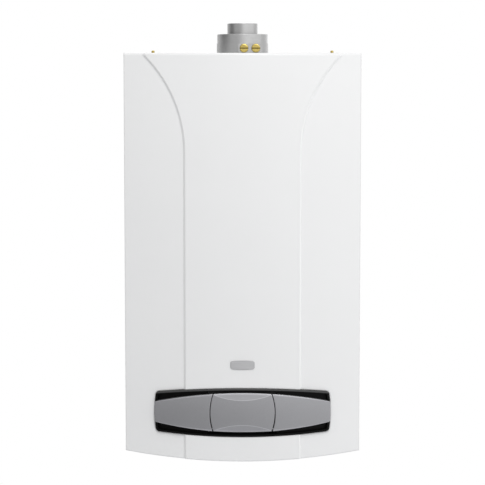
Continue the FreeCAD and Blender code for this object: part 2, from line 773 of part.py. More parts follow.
def control_flap():
    outline = through(grey_outline(0)).common(through(seam_outline(0)))
    outer = crowned_slab(LENS_RISE, LENS_RISE - FLAP_DEPTH).common(outline)
    inner = crowned_slab(LENS_RISE - LENS_WALL, FLOOR_RISE - 1)
    inner = inner.common(through(grey_outline(LENS_WALL))).common(through(seam_outline(LENS_WALL)))
    for side in (-1, 1):
        outer = outer.cut(finger_scoop(side, 0))
        inner = inner.cut(finger_scoop(side, LENS_WALL))
    flap = outer.cut(inner)
    axis = flap_axis()
    hub = FLAP_PIN_RADIUS + LENS_WALL / 2
    for side in (-1, 1):
        start = SEAM_END - FLAP_LUG_LENGTH
        lug = rod(hub, (side * start, axis[1], axis[2]), X * side, FLAP_LUG_LENGTH)
        pin = rod(FLAP_PIN_RADIUS, (side * start, axis[1], axis[2]), X * side, FLAP_PIN_LENGTH)
        flap = flap.fuse([lug, pin])
    return flap.removeSplitter()


def fascia_half_width():
    return PANEL_OPENING_HALF - FASCIA_MARGIN


def button_places():
    places = []
    for step in range(len(BUTTON_NAMES)):
        x = (step - (len(BUTTON_NAMES) - 1) / 2) * BUTTON_PITCH
        places.append((x, -FASCIA_DEPTH, PANEL_Z - BUTTON_DROP))
    return places


def control_fascia():
    half = fascia_half_width()
    high = PANEL_Z + PANEL_OPENING_TOP - FASCIA_MARGIN
    low = PANEL_Z - PANEL_OPENING_LOW + FASCIA_MARGIN
    shell = rounded_block(-half, half, -FASCIA_DEPTH, -BOX_FRONT_DEPTH, low, high, BEZEL_CORNER / 2, Y)
    cavity = block(-half + FASCIA_WALL, half - FASCIA_WALL, FASCIA_WALL - FASCIA_DEPTH, 0,
                   low + FASCIA_WALL, high - FASCIA_WALL)
    fascia = shell.cut(cavity)
    for place in button_places():
        fascia = fascia.cut(rod(BUTTON_RADIUS + BUTTON_CLEARANCE, place, Y, FASCIA_WALL))
    z = PANEL_Z + DISPLAY_RAISE
    opening = block(-DISPLAY_WIDTH / 2, DISPLAY_WIDTH / 2, -FASCIA_DEPTH, FASCIA_WALL - FASCIA_DEPTH,
                    z - DISPLAY_HEIGHT / 2, z + DISPLAY_HEIGHT / 2)
    return fascia.cut(opening)


def display_window():
    z = PANEL_Z + DISPLAY_RAISE
    back = FASCIA_WALL - FASCIA_DEPTH
    half_width = DISPLAY_WIDTH / 2 + DISPLAY_LIP
    half_height = DISPLAY_HEIGHT / 2 + DISPLAY_LIP
    lip = block(-half_width, half_width, back, back + DISPLAY_THICK, z - half_height, z + half_height)
    clear = DISPLAY_LIP + RUNNING_FIT
    pane = block(clear - half_width, half_width - clear, -FASCIA_DEPTH, back,
                 z - half_height + clear, z + half_height - clear)
    return lip.fuse(pane).removeSplitter()


def push_button(place):
    x, y, z = place
    cap = rod(BUTTON_RADIUS, (x, y - BUTTON_PROUD, z), Y, BUTTON_PROUD + FASCIA_WALL + BUTTON_CLEARANCE)
    rim = [e for e in cap.Edges if e.BoundBox.YMax < y - BUTTON_PROUD + 0.01]
    cap = cap.makeFillet(BUTTON_PROUD / 3, rim)
    back = y + FASCIA_WALL + BUTTON_CLEARANCE
    flange = rod(BUTTON_RADIUS + BUTTON_FLANGE, (x, back, z), Y, BUTTON_FLANGE)
    stem = rod(BUTTON_RADIUS / 2, (x, back + BUTTON_FLANGE, z), Y, BUTTON_FLANGE)
    return cap.fuse([flange, stem]).removeSplitter()


def control_box():
    half = BOX_WIDTH / 2
    low = BOX_Z - BOX_HEIGHT / 2
    high = BOX_Z + BOX_HEIGHT / 2
    shell = rounded_block(-half, half, -BOX_FRONT_DEPTH, -BOX_BACK_DEPTH, low, high, BOX_WALL * 2, Y)
    cavity = block(-half + BOX_WALL, half - BOX_WALL, BOX_WALL - BOX_FRONT_DEPTH, 0,
                   low + BOX_WALL, high - BOX_WALL)
    box_form = shell.cut(cavity)
    reach = HALF - SHEET
    ear = rounded_block(half - BOX_WALL, reach, -BOX_FRONT_DEPTH + FOLD * 2, -BOX_BACK_DEPTH - FOLD * 2,
                        low + FOLD, low + FOLD + BOX_WALL * 2, BOX_WALL / 2, X)
    return joined([box_form, ear, mirrored(ear)])


def control_box_lid():
    half = BOX_WIDTH / 2
    low = BOX_Z - BOX_HEIGHT / 2
    high = BOX_Z + BOX_HEIGHT / 2
    lid = rounded_block(-half, half, -BOX_BACK_DEPTH, BOX_WALL - BOX_BACK_DEPTH, low, high, BOX_WALL * 2, Y)
    inset = BOX_WALL + BUTTON_CLEARANCE
    rim = block(-half + inset, half - inset, -BOX_BACK_DEPTH - 2 * BOX_WALL, -BOX_BACK_DEPTH,
                low + inset, high - inset)
    inset = 2 * BOX_WALL + BUTTON_CLEARANCE
    rim = rim.cut(block(-half + inset, half - inset, -BOX_FRONT_DEPTH, 0, low + inset, high - inset))
    return lid.fuse(rim).removeSplitter()


def control_board():
    half = BOX_WIDTH / 2 - 3 * BOX_WALL
    low = BOX_Z - BOX_HEIGHT / 2 + 3 * BOX_WALL
    high = BOX_Z + BOX_HEIGHT / 2 - 3 * BOX_WALL
    front = BOX_WALL - BOX_FRONT_DEPTH + BOARD_STANDOFF
    board = block(-half, half, front, front + BOARD_THICK, low, high)
    pieces = [board]
    for x in (-half + BOARD_STANDOFF, half - BOARD_STANDOFF):
        for z in (low + BOARD_STANDOFF, high - BOARD_STANDOFF):
            pieces.append(rod(BOX_WALL, (x, front - BOARD_STANDOFF, z), Y, BOARD_STANDOFF))
    back = front + BOARD_THICK
    left = BOARD_MARGIN - half
    right = half - BOARD_MARGIN
    foot = low + BOARD_MARGIN
    pieces.append(block(left, left + TRANSFORMER_SIDE, back, back + TRANSFORMER_HEIGHT,
                        foot, foot + TRANSFORMER_SIDE))
    for step in range(2):
        relay = left + TRANSFORMER_SIDE + RELAY_GAP + step * (RELAY_WIDTH + RELAY_GAP)
        pieces.append(block(relay, relay + RELAY_WIDTH, back, back + RELAY_HEIGHT, foot, foot + RELAY_LENGTH))
    pieces.append(rounded_block(right - IGNITER_WIDTH, right, back, back + IGNITER_HEIGHT,
                                foot, foot + IGNITER_LENGTH, BOX_WALL, Y))
    row = high - BOARD_MARGIN
    pieces.append(block(left, right, back, back + CONNECTOR_HEIGHT, row, row + CONNECTOR_LENGTH))
    return joined(pieces)


# Flue adaptor and test points
def flue_adaptor():
    foot = (0, -FLUE_DEPTH, CHAMBER_TOP)
    outer = FLUE_COLLAR_RADIUS
    flange = rod(FLUE_FLANGE_RADIUS, foot, Z, FLUE_FLANGE_THICK)
    base = rod(outer + FLUE_STEP, foot, Z, CHAMBER_TOP_GAP + FLUE_STEP_HEIGHT)
    collar = rod(outer, foot, Z, CHAMBER_TOP_GAP + FLUE_COLLAR_HEIGHT)
    middle = sum(TEST_PLUG_X) / 2
    tower_low = CASE_TOP + BUTTON_CLEARANCE
    tower_top = CASE_TOP + FLUE_STEP_HEIGHT - TEST_TOWER_DROP
    tower = rounded_block(middle - TEST_TOWER_HALF, middle + TEST_TOWER_HALF,
                          -FLUE_DEPTH - TEST_TOWER_REACH, -FLUE_DEPTH, tower_low, tower_top, BOX_WALL, Y)
    body = base.fuse([collar, flange, tower]).removeSplitter()
    body = body.cut(rod(outer - FLUE_COLLAR_WALL, foot, Z, CHAMBER_TOP_GAP + FLUE_COLLAR_HEIGHT))
    rim = [e for e in body.Edges if e.BoundBox.ZMin > CASE_TOP + FLUE_COLLAR_HEIGHT - 0.01]
    body = body.makeFillet(FLUE_RIM_ROUND, rim)
    for x in TEST_PLUG_X:
        face_y = -FLUE_DEPTH - TEST_TOWER_REACH
        body = body.cut(rod(TEST_PLUG_SHANK, (x, face_y, CASE_TOP + TEST_PLUG_RAISE), Y, TEST_PLUG_LENGTH))
    return body


def test_plugs():
    plugs = []
    face_y = -FLUE_DEPTH - TEST_TOWER_REACH
    for x in TEST_PLUG_X:
        place = (x, face_y, CASE_TOP + TEST_PLUG_RAISE)
        head = rod(TEST_PLUG_RADIUS, place, -Y, TEST_PLUG_HEAD)
        rim = [e for e in head.Edges if e.BoundBox.YMax < face_y - TEST_PLUG_HEAD + 0.01]
        head = head.makeFillet(TEST_PLUG_SLOT, rim)
        shank = rod(TEST_PLUG_SHANK - RUNNING_FIT, place, Y, TEST_PLUG_LENGTH - 1)
        half = TEST_PLUG_SLOT / 2
        slot = block(x - TEST_PLUG_RADIUS, x + TEST_PLUG_RADIUS, face_y - TEST_PLUG_HEAD,
                     face_y - TEST_PLUG_HEAD / 2, place[2] - half, place[2] + half)
        plugs.append(head.fuse(shank).removeSplitter().cut(slot))
    return Part.makeCompound(plugs)


def exhaust_pipe():
    low = FAN_Z + SCROLL_RADIUS + FAN_WALL * 2
    top = CASE_TOP + EXHAUST_HEIGHT
    pipe = ring(EXHAUST_RADIUS, EXHAUST_RADIUS - EXHAUST_WALL, (0, -FLUE_DEPTH, low), Z, top - low)
    rim = [e for e in pipe.Edges if e.BoundBox.ZMin > top - 0.01]
    return pipe.makeFillet(EXHAUST_WALL * 0.45, rim)


# Sealed chamber
def sealed_chamber():
    inside = CHAMBER_HALF - SHEET
    side = block(inside, CHAMBER_HALF, -CHAMBER_FRONT, -FRAME_SHEET, CHAMBER_LOW, CHAMBER_TOP)
    rear = block(-inside, inside, -CHAMBER_BACK - SHEET, -CHAMBER_BACK, CHAMBER_LOW, CHAMBER_TOP)
    roof = block(-inside, inside, -CHAMBER_FRONT, -CHAMBER_BACK, CHAMBER_TOP - SHEET, CHAMBER_TOP)
    floor = block(-inside, inside, -CHAMBER_FRONT, -CHAMBER_BACK, CHAMBER_LOW, CHAMBER_LOW + SHEET)
    lip = seal_frame(SHEET, CHAMBER_FRONT)
    chamber = joined([side, mirrored(side), rear, roof, floor, lip])
    throat = FLUE_COLLAR_RADIUS - FLUE_COLLAR_WALL
    chamber = chamber.cut(rod(throat, (0, -FLUE_DEPTH, CHAMBER_TOP - FOLD), Z, 2 * FOLD))
    hole = PIPE_RADIUS + PIPE_HOLE_CLEARANCE
    feed_y = MANIFOLD_BACK - MANIFOLD_SIZE / 2
    for x, y in ((-PIPE_X, -COMBUSTION_MID), (PIPE_X, -COMBUSTION_MID), (0, feed_y)):
        chamber = chamber.cut(rod(hole, (x, y, CHAMBER_LOW - 1), Z, FOLD))
    return chamber


def seal_frame(thick, front):
    outer = block(-CHAMBER_HALF, CHAMBER_HALF, -front, thick - front, CHAMBER_LOW, CHAMBER_TOP)
    inner = block(SEAL_WIDTH - CHAMBER_HALF, CHAMBER_HALF - SEAL_WIDTH, -front, thick - front,
                  CHAMBER_LOW + SEAL_WIDTH, CHAMBER_TOP - SEAL_WIDTH)
    return outer.cut(inner)


def chamber_seal():
    return seal_frame(SEAL_THICK, CHAMBER_FRONT + SEAL_THICK)


def chamber_lid():
    back = -CHAMBER_FRONT - SEAL_THICK
    panel = block(-CHAMBER_HALF, CHAMBER_HALF, back - SHEET, back, CHAMBER_LOW, CHAMBER_TOP)
    margin = 3 * SEAL_WIDTH
    panel_half = CHAMBER_HALF - margin
    low = CHAMBER_LOW + margin
    high = CHAMBER_TOP - margin
    raised = block(-panel_half, panel_half, back - 3 * SHEET, back, low, high)
    hollow = block(SHEET - panel_half, panel_half - SHEET, back - 2 * SHEET, back, low + SHEET, high - SHEET)
    return panel.fuse(raised).cut(hollow).removeSplitter()


# Combustion box and burner
def combustion_box():
    inside = COMBUSTION_HALF - SHEET
    floor = CHAMBER_LOW + SHEET
    side = block(inside, COMBUSTION_HALF, -COMBUSTION_FRONT, -COMBUSTION_BACK, floor, EXCHANGER_LOW)
    skirt = block(inside, COMBUSTION_HALF, -COMBUSTION_SKIRT_FRONT, -COMBUSTION_FRONT, floor, BURNER_TOP)
    front = block(-inside, inside, -COMBUSTION_FRONT, SHEET - COMBUSTION_FRONT, BURNER_TOP, EXCHANGER_LOW)
    rear = block(-inside, inside, -COMBUSTION_BACK - SHEET, -COMBUSTION_BACK, BURNER_TOP, EXCHANGER_LOW)
    box_form = joined([side, skirt, mirrored(side), mirrored(skirt), front, rear])
    for x in (-ELECTRODE_X, 0, ELECTRODE_X):
        start = (x, -COMBUSTION_FRONT - 1, BURNER_TOP + ELECTRODE_RAISE)
        box_form = box_form.cut(rod(ELECTRODE_RADIUS + BUTTON_CLEARANCE, start, Y, 2 + SHEET))
    air_width = RAMP_BACK / 2
    air = block(-HALF, HALF, -COMBUSTION_MID - air_width, -COMBUSTION_MID + air_width,
                floor + FOLD, BURNER_LOW - FOLD / 2)
    return box_form.cut(air)


def insulation_panels():
    inside = COMBUSTION_HALF - SHEET
    low = BURNER_TOP + LENS_WALL
    high = EXCHANGER_LOW - LENS_WALL
    front_y = SHEET - COMBUSTION_FRONT
    rear_y = -COMBUSTION_BACK - SHEET
    front = block(-inside, inside, front_y, front_y + INSULATION, low, high)
    for x in (-ELECTRODE_X, 0, ELECTRODE_X):
        start = (x, front_y - 1, BURNER_TOP + ELECTRODE_RAISE)
        front = front.cut(rod(ELECTRODE_RADIUS + BUTTON_CLEARANCE, start, Y, INSULATION + 2))
    rear = block(-inside, inside, rear_y - INSULATION, rear_y, low, high)
    gap = INSULATION + BUTTON_CLEARANCE
    side = block(inside - INSULATION, inside, front_y + gap, rear_y - gap, low, high)
    return Part.makeCompound([front, rear, side, mirrored(side)])


def ramp_x(step):
    return (step - (RAMP_COUNT - 1) / 2) * RAMP_PITCH


def burner():
    inside = COMBUSTION_HALF - SHEET
    bar_top = BURNER_TOP - RAMP_SLOT_DEPTH
    front_bar = block(-inside, inside, -RAMP_FRONT, FAN_WALL - RAMP_FRONT, BURNER_LOW, bar_top)
    rear_bar = block(-inside, inside, -RAMP_BACK - FAN_WALL, -RAMP_BACK, BURNER_LOW, bar_top)
    pieces = [front_bar, rear_bar]
    for step in range(RAMP_COUNT):
        x = ramp_x(step)
        half = RAMP_WIDTH / 2
        pieces.append(block(x - half, x + half, -RAMP_FRONT, -RAMP_BACK, BURNER_LOW, BURNER_TOP))
    body = joined(pieces)
    slots = []
    length = RAMP_FRONT - RAMP_BACK
    for step in range(RAMP_SLOTS):
        y = -RAMP_FRONT + (step + 0.5) * length / RAMP_SLOTS
        slots.append(block(-inside, inside, y, y + RAMP_SLOT_WIDTH, BURNER_TOP - RAMP_SLOT_DEPTH, BURNER_TOP))
    for step in range(RAMP_COUNT):
        mouth = (ramp_x(step), -RAMP_FRONT, MANIFOLD_Z)
        slots.append(rod(VENTURI_RADIUS, mouth, Y, length / 2))
    return body.cut(Part.makeCompound(slots))


def burner_manifold():
    inside = COMBUSTION_HALF - SHEET
    half = MANIFOLD_SIZE / 2
    tube = rounded_block(-inside, inside, MANIFOLD_BACK - MANIFOLD_SIZE, MANIFOLD_BACK,
                         MANIFOLD_Z - half, MANIFOLD_Z + half, BOX_WALL, X)
    nozzles = []
    for step in range(RAMP_COUNT):
        root = (ramp_x(step), MANIFOLD_BACK - 1, MANIFOLD_Z)
        nozzles.append(rod(INJECTOR_RADIUS, root, Y, INJECTOR_LENGTH + 1))
    return tube.fuse(nozzles).removeSplitter()


def electrodes():
    rods = []
    for x in (-ELECTRODE_X, 0, ELECTRODE_X):
        z = BURNER_TOP + ELECTRODE_RAISE
        start = -COMBUSTION_FRONT - INSULATION
        sleeve = rod(ELECTRODE_RADIUS, (x, start, z), Y, 2 * INSULATION + FOLD)
        clamp = rounded_block(x - INSULATION, x + INSULATION, -COMBUSTION_FRONT - SHEET, -COMBUSTION_FRONT,
                              z - ELECTRODE_RADIUS - LENS_WALL, z + ELECTRODE_RADIUS + LENS_WALL, BOX_WALL, Y)
        wire = rod(ELECTRODE_WIRE, (x, start, z), Y, 2 * INSULATION + 3 * FOLD)
        rods.append(joined([sleeve, clamp, wire]))
    return Part.makeCompound(rods)


# Heat exchanger, hood and fan
def heat_exchanger():
    half = COMBUSTION_HALF - BOX_WALL
    front = -COMBUSTION_FRONT + BOX_WALL
    rear = -COMBUSTION_BACK - BOX_WALL
    shell = block(-half, half, front, rear, EXCHANGER_LOW, EXCHANGER_TOP)
    shell = shell.cut(block(EXCHANGER_WALL - half, half - EXCHANGER_WALL, front + EXCHANGER_WALL,
                            rear - EXCHANGER_WALL, EXCHANGER_LOW, EXCHANGER_TOP))
    z = (EXCHANGER_LOW + EXCHANGER_TOP) / 2
    pieces = [shell]
    fin_low = EXCHANGER_LOW + FOLD / 2
    fin_top = EXCHANGER_TOP - FOLD / 2
    for step in range(FIN_COUNT):
        x = (step - (FIN_COUNT - 1) / 2) * (2 * half / FIN_COUNT)
        pieces.append(block(x, x + FIN_THICK, front, rear, fin_low, fin_top))
    for step in range(EXCHANGER_TUBES):
        y = -COMBUSTION_MID + (step - (EXCHANGER_TUBES - 1) / 2) * EXCHANGER_TUBE_PITCH
        pieces.append(rod(EXCHANGER_TUBE_RADIUS, (-half, y, z), X, 2 * half))
    reach = COMBUSTION_HALF + HEADER_REACH
    span = EXCHANGER_TUBES * EXCHANGER_TUBE_PITCH / 2
    header = rounded_block(half, reach, -COMBUSTION_MID - span, -COMBUSTION_MID + span,
                           EXCHANGER_LOW + BOX_WALL, EXCHANGER_TOP - BOX_WALL, INSULATION, X)
    return joined(pieces + [header, mirrored(header)])


def flue_hood():
    half = COMBUSTION_HALF - BOX_WALL
    front = -COMBUSTION_FRONT + BOX_WALL
    rear = -COMBUSTION_BACK - BOX_WALL
    duct_rear = FAN_REAR + FAN_WALL + INLET_DUCT_DEPTH

    def form(inset, low, high):
        left = -FAN_OFFSET - INLET_DUCT_HALF + inset
        right = -FAN_OFFSET + INLET_DUCT_HALF - inset
        base = rectangle(inset - half, half - inset, front + inset, rear - inset, low)
        neck = rectangle(left, right, FAN_FRONT + inset, duct_rear - inset, high)
        return Part.makeLoft([base, neck], True, True)

    hood = form(0, EXCHANGER_TOP, HOOD_TOP).cut(form(HOOD_WALL, EXCHANGER_TOP, HOOD_TOP - HOOD_WALL))
    mouth = block(HOOD_WALL - FAN_OFFSET - INLET_DUCT_HALF, INLET_DUCT_HALF - FAN_OFFSET - HOOD_WALL,
                  FAN_REAR + 2 * FAN_WALL, duct_rear - 2 * FAN_WALL, HOOD_TOP - FOLD, HOOD_TOP + 1)
    return hood.cut(mouth)


def scroll_outline(grow, y):
    x = -FAN_OFFSET
    first = SCROLL_RADIUS + grow
    step = SCROLL_GROWTH
    out_z = FAN_Z + SCROLL_RADIUS
    diagonal = math.sqrt(0.5)

    def point(cx, cz, radius, turn):
        angle = math.radians(turn)
        return (cx + radius * math.cos(angle), y, cz + radius * math.sin(angle))

    one = (x, FAN_Z, first)
    two = (x, FAN_Z - step, first + step)
    three = (x + step, FAN_Z - step, first + 2 * step)
    four = (x + step, FAN_Z, first + 3 * step)
    tongue = (x + SCROLL_RADIUS * diagonal - grow, y, FAN_Z + first * diagonal)
    right = point(*four, 0)
    return face(
        arc(tongue, point(*one, 68), point(*one, 90)),
        arc(point(*two, 90), point(*two, 135), point(*two, 180)),
        arc(point(*three, 180), point(*three, 225), point(*three, 270)),
        arc(point(*four, 270), point(*four, 315), right),
        line(right, (right[0], y, out_z)),
        line((right[0], y, out_z), (tongue[0], y, out_z)),
        line((tongue[0], y, out_z), tongue),
    )


def fan_housing():
    casing = scroll_outline(FAN_WALL, FAN_FRONT - FAN_WALL).extrude(Y * (FAN_WIDTH + 2 * FAN_WALL))
    duct_rear = FAN_REAR + FAN_WALL + INLET_DUCT_DEPTH
    left = -FAN_OFFSET - INLET_DUCT_HALF
    right = -FAN_OFFSET + INLET_DUCT_HALF
    duct_top = FAN_Z + INLET_RADIUS + FAN_WALL
    duct = block(left, right, FAN_REAR + FAN_WALL, duct_rear, HOOD_TOP, duct_top)
    foot = block(left, right, FAN_FRONT, duct_rear, HOOD_TOP, HOOD_TOP + FAN_WALL)
    out_z = FAN_Z + SCROLL_RADIUS
    collar = rod(EXHAUST_RADIUS - EXHAUST_WALL / 2, (0, -FLUE_DEPTH, out_z), Z, 2 * FAN_WALL)
    spigot_radius = EXHAUST_RADIUS - EXHAUST_WALL - EXHAUST_CLEARANCE
    spigot = rod(spigot_radius, (0, -FLUE_DEPTH, out_z), Z, OUTLET_SPIGOT)
    body = joined([casing, duct, foot, collar, spigot])
    air = scroll_outline(0, FAN_FRONT).extrude(Y * FAN_WIDTH)
    duct_air = block(left + FAN_WALL, right - FAN_WALL, FAN_REAR + FAN_WALL, duct_rear - FAN_WALL,
                     HOOD_TOP, duct_top - FAN_WALL)
    eye = rod(INLET_RADIUS, (-FAN_OFFSET, FAN_REAR - 1, FAN_Z), Y, 2 * FAN_WALL)
    outlet = rod(FAN_WIDTH / 2 - FAN_WALL, (0, -FLUE_DEPTH, out_z - 1), Z, OUTLET_SPIGOT + 2)
    hole_start = (-FAN_OFFSET, FAN_FRONT - 2 * FAN_WALL, FAN_Z)
    shaft_hole = rod(FAN_SHAFT_RADIUS + FAN_WALL, hole_start, Y, 3 * FAN_WALL)
    return body.cut(air.fuse(outlet)).cut(duct_air).cut(eye).cut(shaft_hole)


def fan_blade(y, length):
    outer = IMPELLER_RADIUS - BLADE_THICK
    inner = IMPELLER_EYE
    bend = (outer - inner) / 3
    middle = (outer + inner) / 2
    ribbon = face(
        line((inner, y, 0), (inner, y, BLADE_THICK)),
        arc((inner, y, BLADE_THICK), (middle, y, bend + BLADE_THICK), (outer, y, BLADE_THICK)),
        line((outer, y, BLADE_THICK), (outer, y, 0)),
        arc((outer, y, 0), (middle, y, bend), (inner, y, 0)),
    )
    return ribbon.extrude(Y * length)


def fan_impeller():
    front = -FLUE_DEPTH - IMPELLER_WIDTH / 2
    disc = rod(IMPELLER_RADIUS, (0, front, 0), Y, BLADE_THICK)
    hub = rod(FAN_SHAFT_RADIUS * 2, (0, front, 0), Y, IMPELLER_WIDTH / 2)
    shroud = ring(IMPELLER_RADIUS, IMPELLER_EYE, (0, front + IMPELLER_WIDTH - BLADE_THICK, 0), Y, BLADE_THICK)
    shaft_end = FAN_FRONT - FAN_WALL - FAN_MOTOR_LENGTH * 0.8
    shaft = rod(FAN_SHAFT_RADIUS, (0, shaft_end, 0), Y, front - shaft_end)
    blade = fan_blade(front, IMPELLER_WIDTH)
    pieces = [disc, hub, shroud, shaft]
    for step in range(IMPELLER_BLADES):
        turned = blade.copy()
        turned.rotate(V(0, 0, 0), Y, step * 360 / IMPELLER_BLADES)
        pieces.append(turned)
    wheel = joined(pieces)
    wheel.translate(V(-FAN_OFFSET, 0, FAN_Z))
    return wheel


def fan_motor():
    back = FAN_FRONT - FAN_WALL
    centre = (-FAN_OFFSET, back, FAN_Z)
    body = rod(FAN_MOTOR_RADIUS, centre, -Y, FAN_MOTOR_LENGTH)
    rim = [e for e in body.Edges if e.BoundBox.YMax < back - FAN_MOTOR_LENGTH + 0.01]
    body = body.makeFillet(BOX_WALL * 2, rim)
    shaft_room = rod(FAN_SHAFT_RADIUS + RUNNING_FIT, centre, -Y, FAN_MOTOR_LENGTH * 0.8 + 1)
    vents = []
    for step in range(8):
        vent = block(FAN_MOTOR_RADIUS - BOX_WALL, FAN_MOTOR_RADIUS + 1, back - FAN_MOTOR_LENGTH * 0.7,
                     back - FAN_MOTOR_LENGTH * 0.3, -BOX_WALL, BOX_WALL)
        vent.rotate(V(0, 0, 0), Y, step * 45)
        vent.translate(V(-FAN_OFFSET, 0, FAN_Z))
        vents.append(vent)
    return body.cut(shaft_room).cut(Part.makeCompound(vents))


def air_switch():
    wall = CHAMBER_HALF - SHEET
    centre = (wall, -COMBUSTION_MID, FAN_Z)
    foot = rod(AIR_SWITCH_RADIUS / 2, centre, -X, AIR_SWITCH_THICK / 2)
    disc = rod(AIR_SWITCH_RADIUS, (wall - AIR_SWITCH_THICK / 2, centre[1], FAN_Z), -X, AIR_SWITCH_THICK / 2)
    disc = disc.makeFillet(BOX_WALL, [e for e in disc.Edges if e.Curve.TypeId == "Part::GeomCircle"])
    ports = []
    for z in (FAN_Z - INSULATION, FAN_Z + INSULATION):
        ports.append(rod(BOX_WALL, (wall - AIR_SWITCH_THICK, centre[1], z), -X, INSULATION))
    return joined([foot, disc] + ports)


def expansion_vessel():
    z = CASE_TOP - VESSEL_CENTRE_DROP
    back = -FRAME_SHEET
    front = back - VESSEL_THICK
    middle = (front + back) / 2
    shoulder = VESSEL_RADIUS - 4 * VESSEL_RIM
    profile = face(
        line((0, front, z), (shoulder, front, z)),
        arc((shoulder, front, z), (VESSEL_RADIUS - 2 * VESSEL_RIM, front + VESSEL_RIM, z),
            (VESSEL_RADIUS - VESSEL_RIM, middle - VESSEL_RIM, z)),
        line((VESSEL_RADIUS - VESSEL_RIM, middle - VESSEL_RIM, z), (VESSEL_RADIUS, middle - VESSEL_RIM, z)),
        line((VESSEL_RADIUS, middle - VESSEL_RIM, z), (VESSEL_RADIUS, middle + VESSEL_RIM, z)),
        line((VESSEL_RADIUS, middle + VESSEL_RIM, z), (VESSEL_RADIUS - VESSEL_RIM, middle + VESSEL_RIM, z)),
        arc((VESSEL_RADIUS - VESSEL_RIM, middle + VESSEL_RIM, z), (VESSEL_RADIUS - 2 * VESSEL_RIM,
            back - VESSEL_RIM, z), (shoulder, back, z)),
        line((shoulder, back, z), (0, back, z)),
        line((0, back, z), (0, front, z)),
    )
    vessel = profile.revolve(V(0, 0, z), Y, 360)
    nipple = rod(PIPE_RADIUS, (0, middle, z - VESSEL_RADIUS - FOLD), Z, 2 * FOLD)
    return vessel.fuse(nipple).removeSplitter()


# Pipes and hydraulics
def bent_pipe(points, radius, bend):
    corners = [V(*p) for p in points]
    edges = []
    start = corners[0]
    for before, corner, after in zip(corners, corners[1:], corners[2:]):
        come = (corner - before).normalize()
        leave = (after - corner).normalize()
        turn = come.getAngle(leave)
        cut = bend * math.tan(turn / 2)
        first = corner - come * cut
        last = corner + leave * cut
        inward = (leave - come).normalize()
        middle = corner + inward * (bend / math.cos(turn / 2) - bend)
        edges.append(Part.LineSegment(start, first).toShape())
        edges.append(Part.Arc(first, middle, last).toShape())
        start = last
    edges.append(Part.LineSegment(start, corners[-1]).toShape())
    path = Part.Wire(edges)
    section = Part.Wire(Part.makeCircle(radius, corners[0], corners[1] - corners[0]))
    return path.makePipeShell([section], True, False)


def tail(x, radius, top):
    low = TRAY_Z - TAIL_REACH
    pipe = rod(radius, (x, -TAIL_DEPTH, low), Z, top - low)
    reach = radius + 2 * TAIL_CLEARANCE
    corners = []
    for step in range(7):
        angle = math.radians(60 * step)
        corners.append(V(x + reach * math.cos(angle), reach * math.sin(angle) - TAIL_DEPTH, TRAY_TOP))
    nut = Part.Face(Part.makePolygon(corners)).extrude(Z * TAIL_COLLAR)
    bore = rod(radius - TAIL_WALL, (x, -TAIL_DEPTH, low), Z, TAIL_REACH)
    return pipe.fuse(nut).cut(bore)


def block_body(side, outer_end):
    start = (side * BLOCK_INNER_END, -TAIL_DEPTH, BLOCK_Z)
    body = rod(BLOCK_RADIUS, start, X * side, outer_end - BLOCK_INNER_END)
    ends = [e for e in body.Edges if e.Curve.TypeId == "Part::GeomCircle"]
    return body.makeFillet(BOX_WALL, ends)


def flow_block():
    pieces = [block_body(-1, FLOW_BLOCK_END)]
    pieces.append(tail(-2 * TAIL_PITCH, LARGE_TAIL_RADIUS, BLOCK_Z))
    pieces.append(tail(-TAIL_PITCH, SMALL_TAIL_RADIUS, BLOCK_Z))
    for x in (-PIPE_X, -TAIL_PITCH):
        pieces.append(rod(PORT_RADIUS, (x, -TAIL_DEPTH, BLOCK_Z), Z, PORT_TOP - BLOCK_Z))
    pieces.append(rod(DIVERTER_BOSS_RADIUS, (DIVERTER_X, -TAIL_DEPTH, BLOCK_Z), -Y, DIVERTER_REACH))
    body = joined(pieces)
    head_room = SPINDLE_HEAD_RADIUS + LENS_WALL
    room_length = SPINDLE_HEAD_LENGTH + DIVERTER_TRAVEL + 2 * LENS_WALL
    chamber_start = (DIVERTER_X, -TAIL_DEPTH - SPINDLE_HEAD_LENGTH - LENS_WALL, BLOCK_Z)
    body = body.cut(rod(head_room, chamber_start, Y, room_length))
    bore = rod(SPINDLE_RADIUS + RUNNING_FIT, (DIVERTER_X, DIVERTER_FACE, BLOCK_Z), Y, DIVERTER_REACH)
    return body.cut(bore)


def return_block():
    pieces = [block_body(1, BLOCK_OUTER_END)]
    pieces.append(tail(TAIL_PITCH, SMALL_TAIL_RADIUS, BLOCK_Z))
    pieces.append(tail(2 * TAIL_PITCH, LARGE_TAIL_RADIUS, BLOCK_Z))
    for x in (PIPE_X, TAIL_PITCH):
        pieces.append(rod(PORT_RADIUS, (x, -TAIL_DEPTH, BLOCK_Z), Z, PORT_TOP - BLOCK_Z))
    boss_low = BLOCK_Z - BLOCK_RADIUS - FILL_STEM_RADIUS
    pieces.append(rod(FILL_BOSS_RADIUS, (FILL_X, -FILL_DEPTH, boss_low), Z, BLOCK_Z - boss_low))
    body = joined(pieces)
    seat = rod(FILL_STEM_RADIUS + RUNNING_FIT, (FILL_X, -FILL_DEPTH, boss_low), Z, BLOCK_RADIUS)
    return body.cut(seat)


